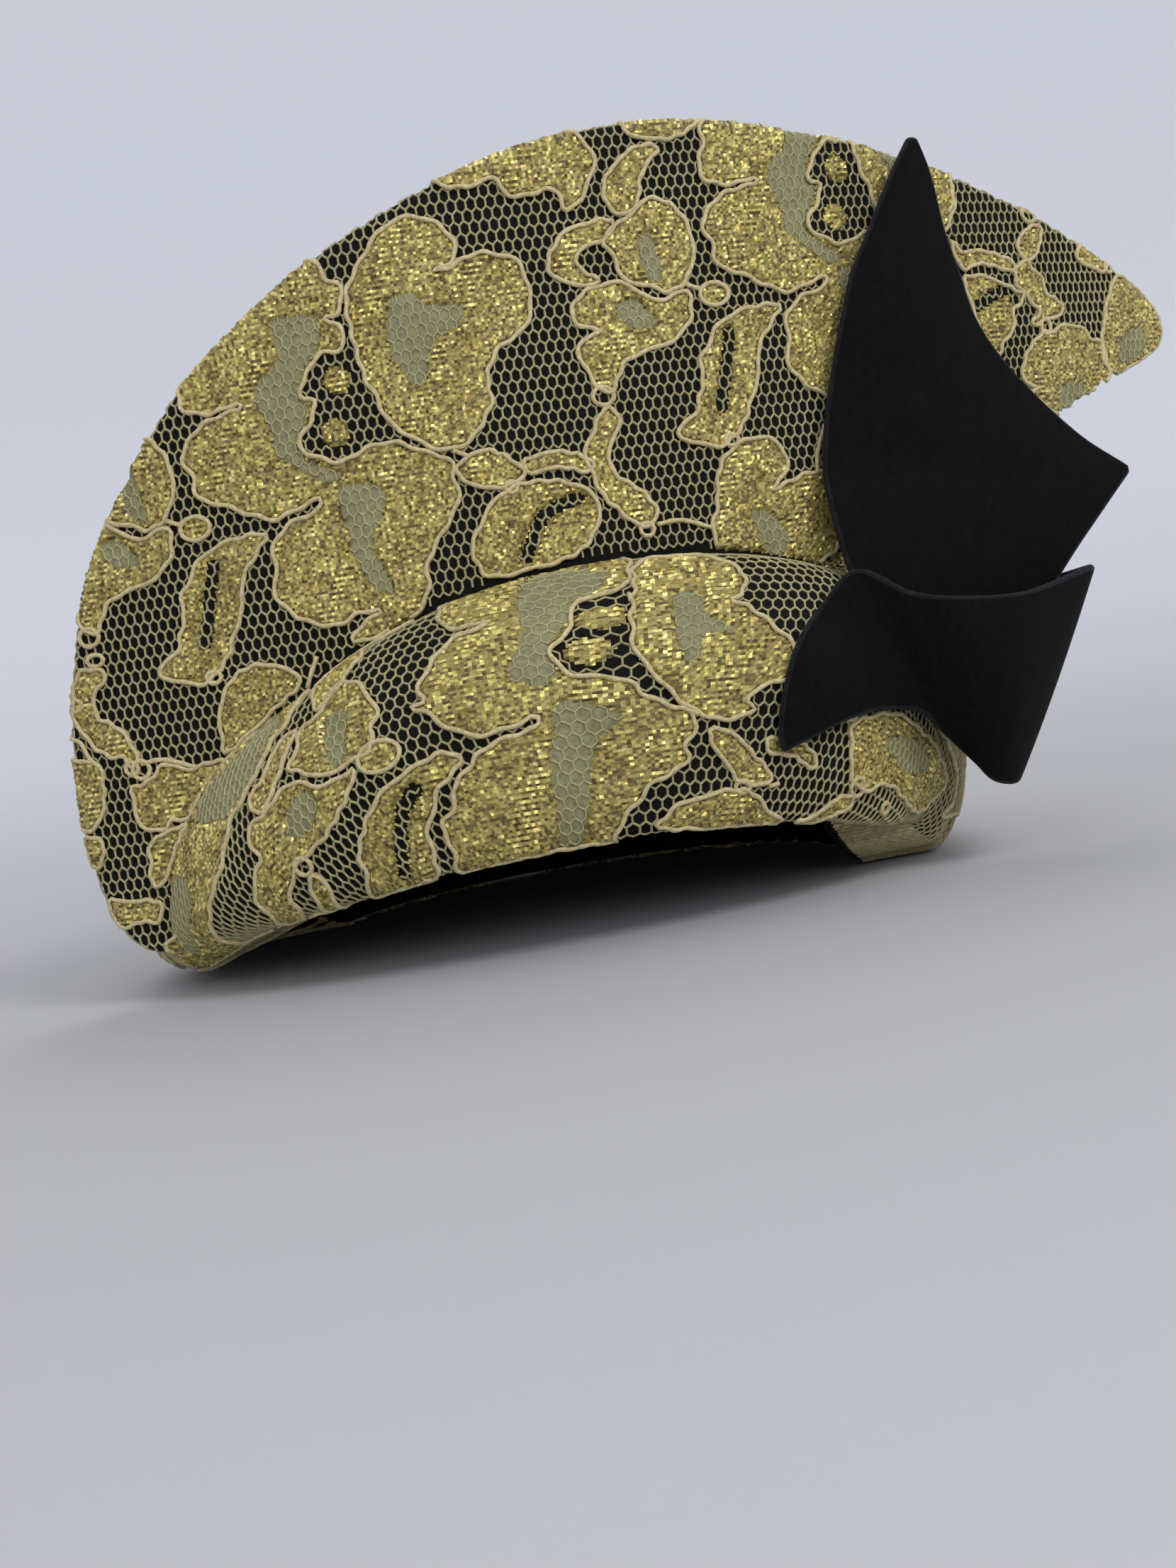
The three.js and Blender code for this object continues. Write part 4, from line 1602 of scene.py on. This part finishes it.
def ramp(material, factor, low, low_color, high, high_color):
    """A colour that goes from one to another between two values of the factor."""
    made = node(material, "ShaderNodeValToRGB", [(factor, "Fac")])
    stops = ((low, low_color), (high, high_color))
    for element, (place, color) in zip(made.color_ramp.elements, stops):
        element.position = place
        element.color = (*color, 1)
    return made.outputs["Color"]


def multiplied(material, first, second):
    links = [(first, MIX_FIRST), (second, MIX_SECOND)]
    made = node(material, "ShaderNodeMix", links, _data_type="RGBA", _blend_type="MULTIPLY", Factor=1.0)
    return made.outputs[MIX_RESULT]


def finish_look(material, shader, color, height, strength, distance):
    links = material.node_tree.links
    links.new(color, shader.inputs["Base Color"])
    bump = node(material, "ShaderNodeBump", [(height, "Height")], Strength=strength, Distance=distance)
    links.new(bump.outputs["Normal"], shader.inputs["Normal"])
    return material


def gold_look(name, bright, dull, roughness, metallic):
    """Gold thread of the knit, a little uneven along its length."""
    material, shader = new_look(name, Roughness=roughness, Metallic=metallic)
    place = object_place(material)
    twist = noise(material, place, scale=1300.0, detail=2.0)
    drift = noise(material, place, scale=150.0, detail=3.0)
    color = ramp(material, twist, 0.35, dull, 0.62, bright)
    soft = ramp(material, drift, 0.35, GOLD_SHADE, 0.65, WHITE)
    color = multiplied(material, color, soft)
    return finish_look(material, shader, color, twist, strength=0.5, distance=0.0003)


def thread_look(name, pale, dark, scale, drift_scale, shade):
    """Soft matt thread with a fine twist, shaded a little in broad patches or streaks."""
    material, shader = new_look(name, Roughness=0.75, Sheen_Weight=0.05)
    twist = noise(material, object_place(material), scale, detail=2.0)
    drift = noise(material, object_place(material, drift_scale), scale=1.0, detail=2.0)
    color = ramp(material, twist, 0.3, dark, 0.65, pale)
    soft = ramp(material, drift, 0.3, shade, 0.7, WHITE)
    color = multiplied(material, color, soft)
    return finish_look(material, shader, color, twist, strength=0.4, distance=0.0002)


def cloth_look(name, pale, dark):
    """Closely woven black cloth."""
    material, shader = new_look(name, Roughness=0.9, Specular_IOR_Level=0.2)
    weave = noise(material, object_place(material), scale=1500.0, detail=3.0)
    color = ramp(material, weave, 0.35, dark, 0.7, pale)
    return finish_look(material, shader, color, weave, strength=0.3, distance=0.0002)


def felt_look(name, pale, dark, sheen):
    """Pressed fur felt with a fine nap."""
    material, shader = new_look(name, Roughness=0.95, Sheen_Weight=sheen, Specular_IOR_Level=0.15)
    nap = noise(material, object_place(material, NAP_STRETCH), scale=900.0, detail=5.0)
    color = ramp(material, nap, 0.3, dark, 0.72, pale)
    return finish_look(material, shader, color, nap, strength=0.5, distance=0.0003)


def floor_look():
    """Pale matt floor with painted shade: darker near the hat and lighter away from it."""
    material, shader = new_look("pale_floor", Roughness=0.9)
    drift = noise(material, object_place(material), scale=3.0, detail=2.0)
    place = object_place(material, FLOOR_SPREAD)
    away = node(material, "ShaderNodeVectorMath", [(place, "Vector")], _operation="LENGTH")
    # Painted shade: the colour darkens towards the hat
    color = ramp(material, away.outputs["Value"], 0.08, FLOOR_NEAR_PAINTED_SHADE, 0.85, FLOOR_FAR)
    return finish_look(material, shader, color, drift, strength=0.05, distance=0.001)


# The stage
def studio_floor(height):
    """A round floor that bends up into a wall all the way round."""
    bend = np.linspace(0, math.pi / 2, WALL_BEND_STEPS)[1:]
    level = np.linspace(FLOOR_HOLE, FLOOR_RADIUS, FLOOR_RINGS)
    wall = FLOOR_RADIUS + WALL_BEND * np.sin(bend)
    radii = np.concatenate([level, wall, wall[-1:]])
    rises = np.concatenate([np.zeros(FLOOR_RINGS), WALL_BEND * (1 - np.cos(bend)), [WALL_TOP]])
    turn = np.arange(FLOOR_AROUND) * 2 * math.pi / FLOOR_AROUND
    points = [
        (radius * math.cos(t), radius * math.sin(t), rise + height)
        for radius, rise in zip(radii, rises) for t in turn]
    index = np.arange(len(points)).reshape(-1, FLOOR_AROUND)
    faces = [*ring_quads(index).tolist(), index[0].tolist()]
    mesh = bpy.data.meshes.new("studio_floor")
    mesh.from_pydata(points, [], faces)
    mesh.polygons.foreach_set("use_smooth", np.ones(len(faces), bool))
    mesh.materials.append(floor_look())
    add_object("studio_floor", mesh)


def add_lights():
    for name, place, size, power in LIGHTS:
        lamp = bpy.data.lights.new(name, "AREA")
        lamp.shape = "DISK"
        lamp.size = size
        lamp.energy = power
        light = add_object(name, lamp)
        light.location = place
        light.rotation_euler = (Vector(LIGHT_TARGET) - Vector(place)).to_track_quat("-Z", "Y").to_euler()
    world = bpy.data.worlds.new("studio")
    world.use_nodes = True
    background = world.node_tree.nodes["Background"]
    background.inputs["Color"].default_value = WORLD_COLOR
    background.inputs["Strength"].default_value = WORLD_STRENGTH
    bpy.context.scene.world = world


def add_camera():
    right, up, ahead = camera_axes()
    data = bpy.data.cameras.new("camera")
    data.sensor_width = SENSOR
    data.lens = SENSOR * CAMERA_FOCAL_PIXELS / PHOTO_SIZE[1]
    data.clip_start = CAMERA_CLIP
    camera = add_object("camera", data)
    axes = Matrix((right, up, -ahead)).transposed().to_4x4()
    camera.matrix_world = Matrix.Translation(CAMERA_PLACE * MM + HAT_ORIGIN) @ axes
    bpy.context.scene.camera = camera


# The hat is put together
cloths = [cloth_look(name, *look) for name, look in CLOTHS.items()]
felts = [felt_look(name, *look) for name, look in FELTS.items()]
threads = {name: thread_look(name, *look) for name, look in THREADS.items()}
LOOKS = {
    "gold": [gold_look(name, *look) for name, look in GOLDS.items()],
    "ground": [threads["plain_ground"], threads["turned_under_ground_painted_light"]],
    "thread": threads["net_thread"],
    "cord": threads["cord_thread"],
}

crown_chart = CrownChart()
front_chart = HaloChart(side=1, turn_limit=FRONT_LACE_TURN)
back_chart = HaloChart(side=-1, turn_limit=BACK_LACE_TURN)

crown = crown_cloth(crown_chart, cloths)
halo = halo_cloth(cloths[:1])
petal = felt_piece("bow_petal_felt", petal_surface, rows=121, columns=41, materials=felts)
wrap = felt_piece("bow_wrap_felt", wrap_surface, rows=161, columns=33, materials=felts)
crown_trim = lace_pieces("crown_lace", crown_lace(crown_chart), LOOKS)
front_lace = halo_lace(front_chart, np.zeros(2), ends=True)
front_trim = lace_pieces("halo_front_lace", front_lace, LOOKS)
back_lace = halo_lace(back_chart, BACK_LACE_OFFSET, ends=False)
back_trim = lace_pieces("halo_back_lace", back_lace, LOOKS, flip=True)

for piece, node_name, slot in (
    (crown, "crown", "lace"),
    (halo, "halo", "lace"),
    (petal, "bow_petal", "felt"),
    (wrap, "bow_wrap", "felt"),
):
    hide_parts(node_name)

low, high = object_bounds()
studio_floor(low.z)
add_lights()
add_camera()
bpy.context.scene.view_settings.view_transform = "Standard"
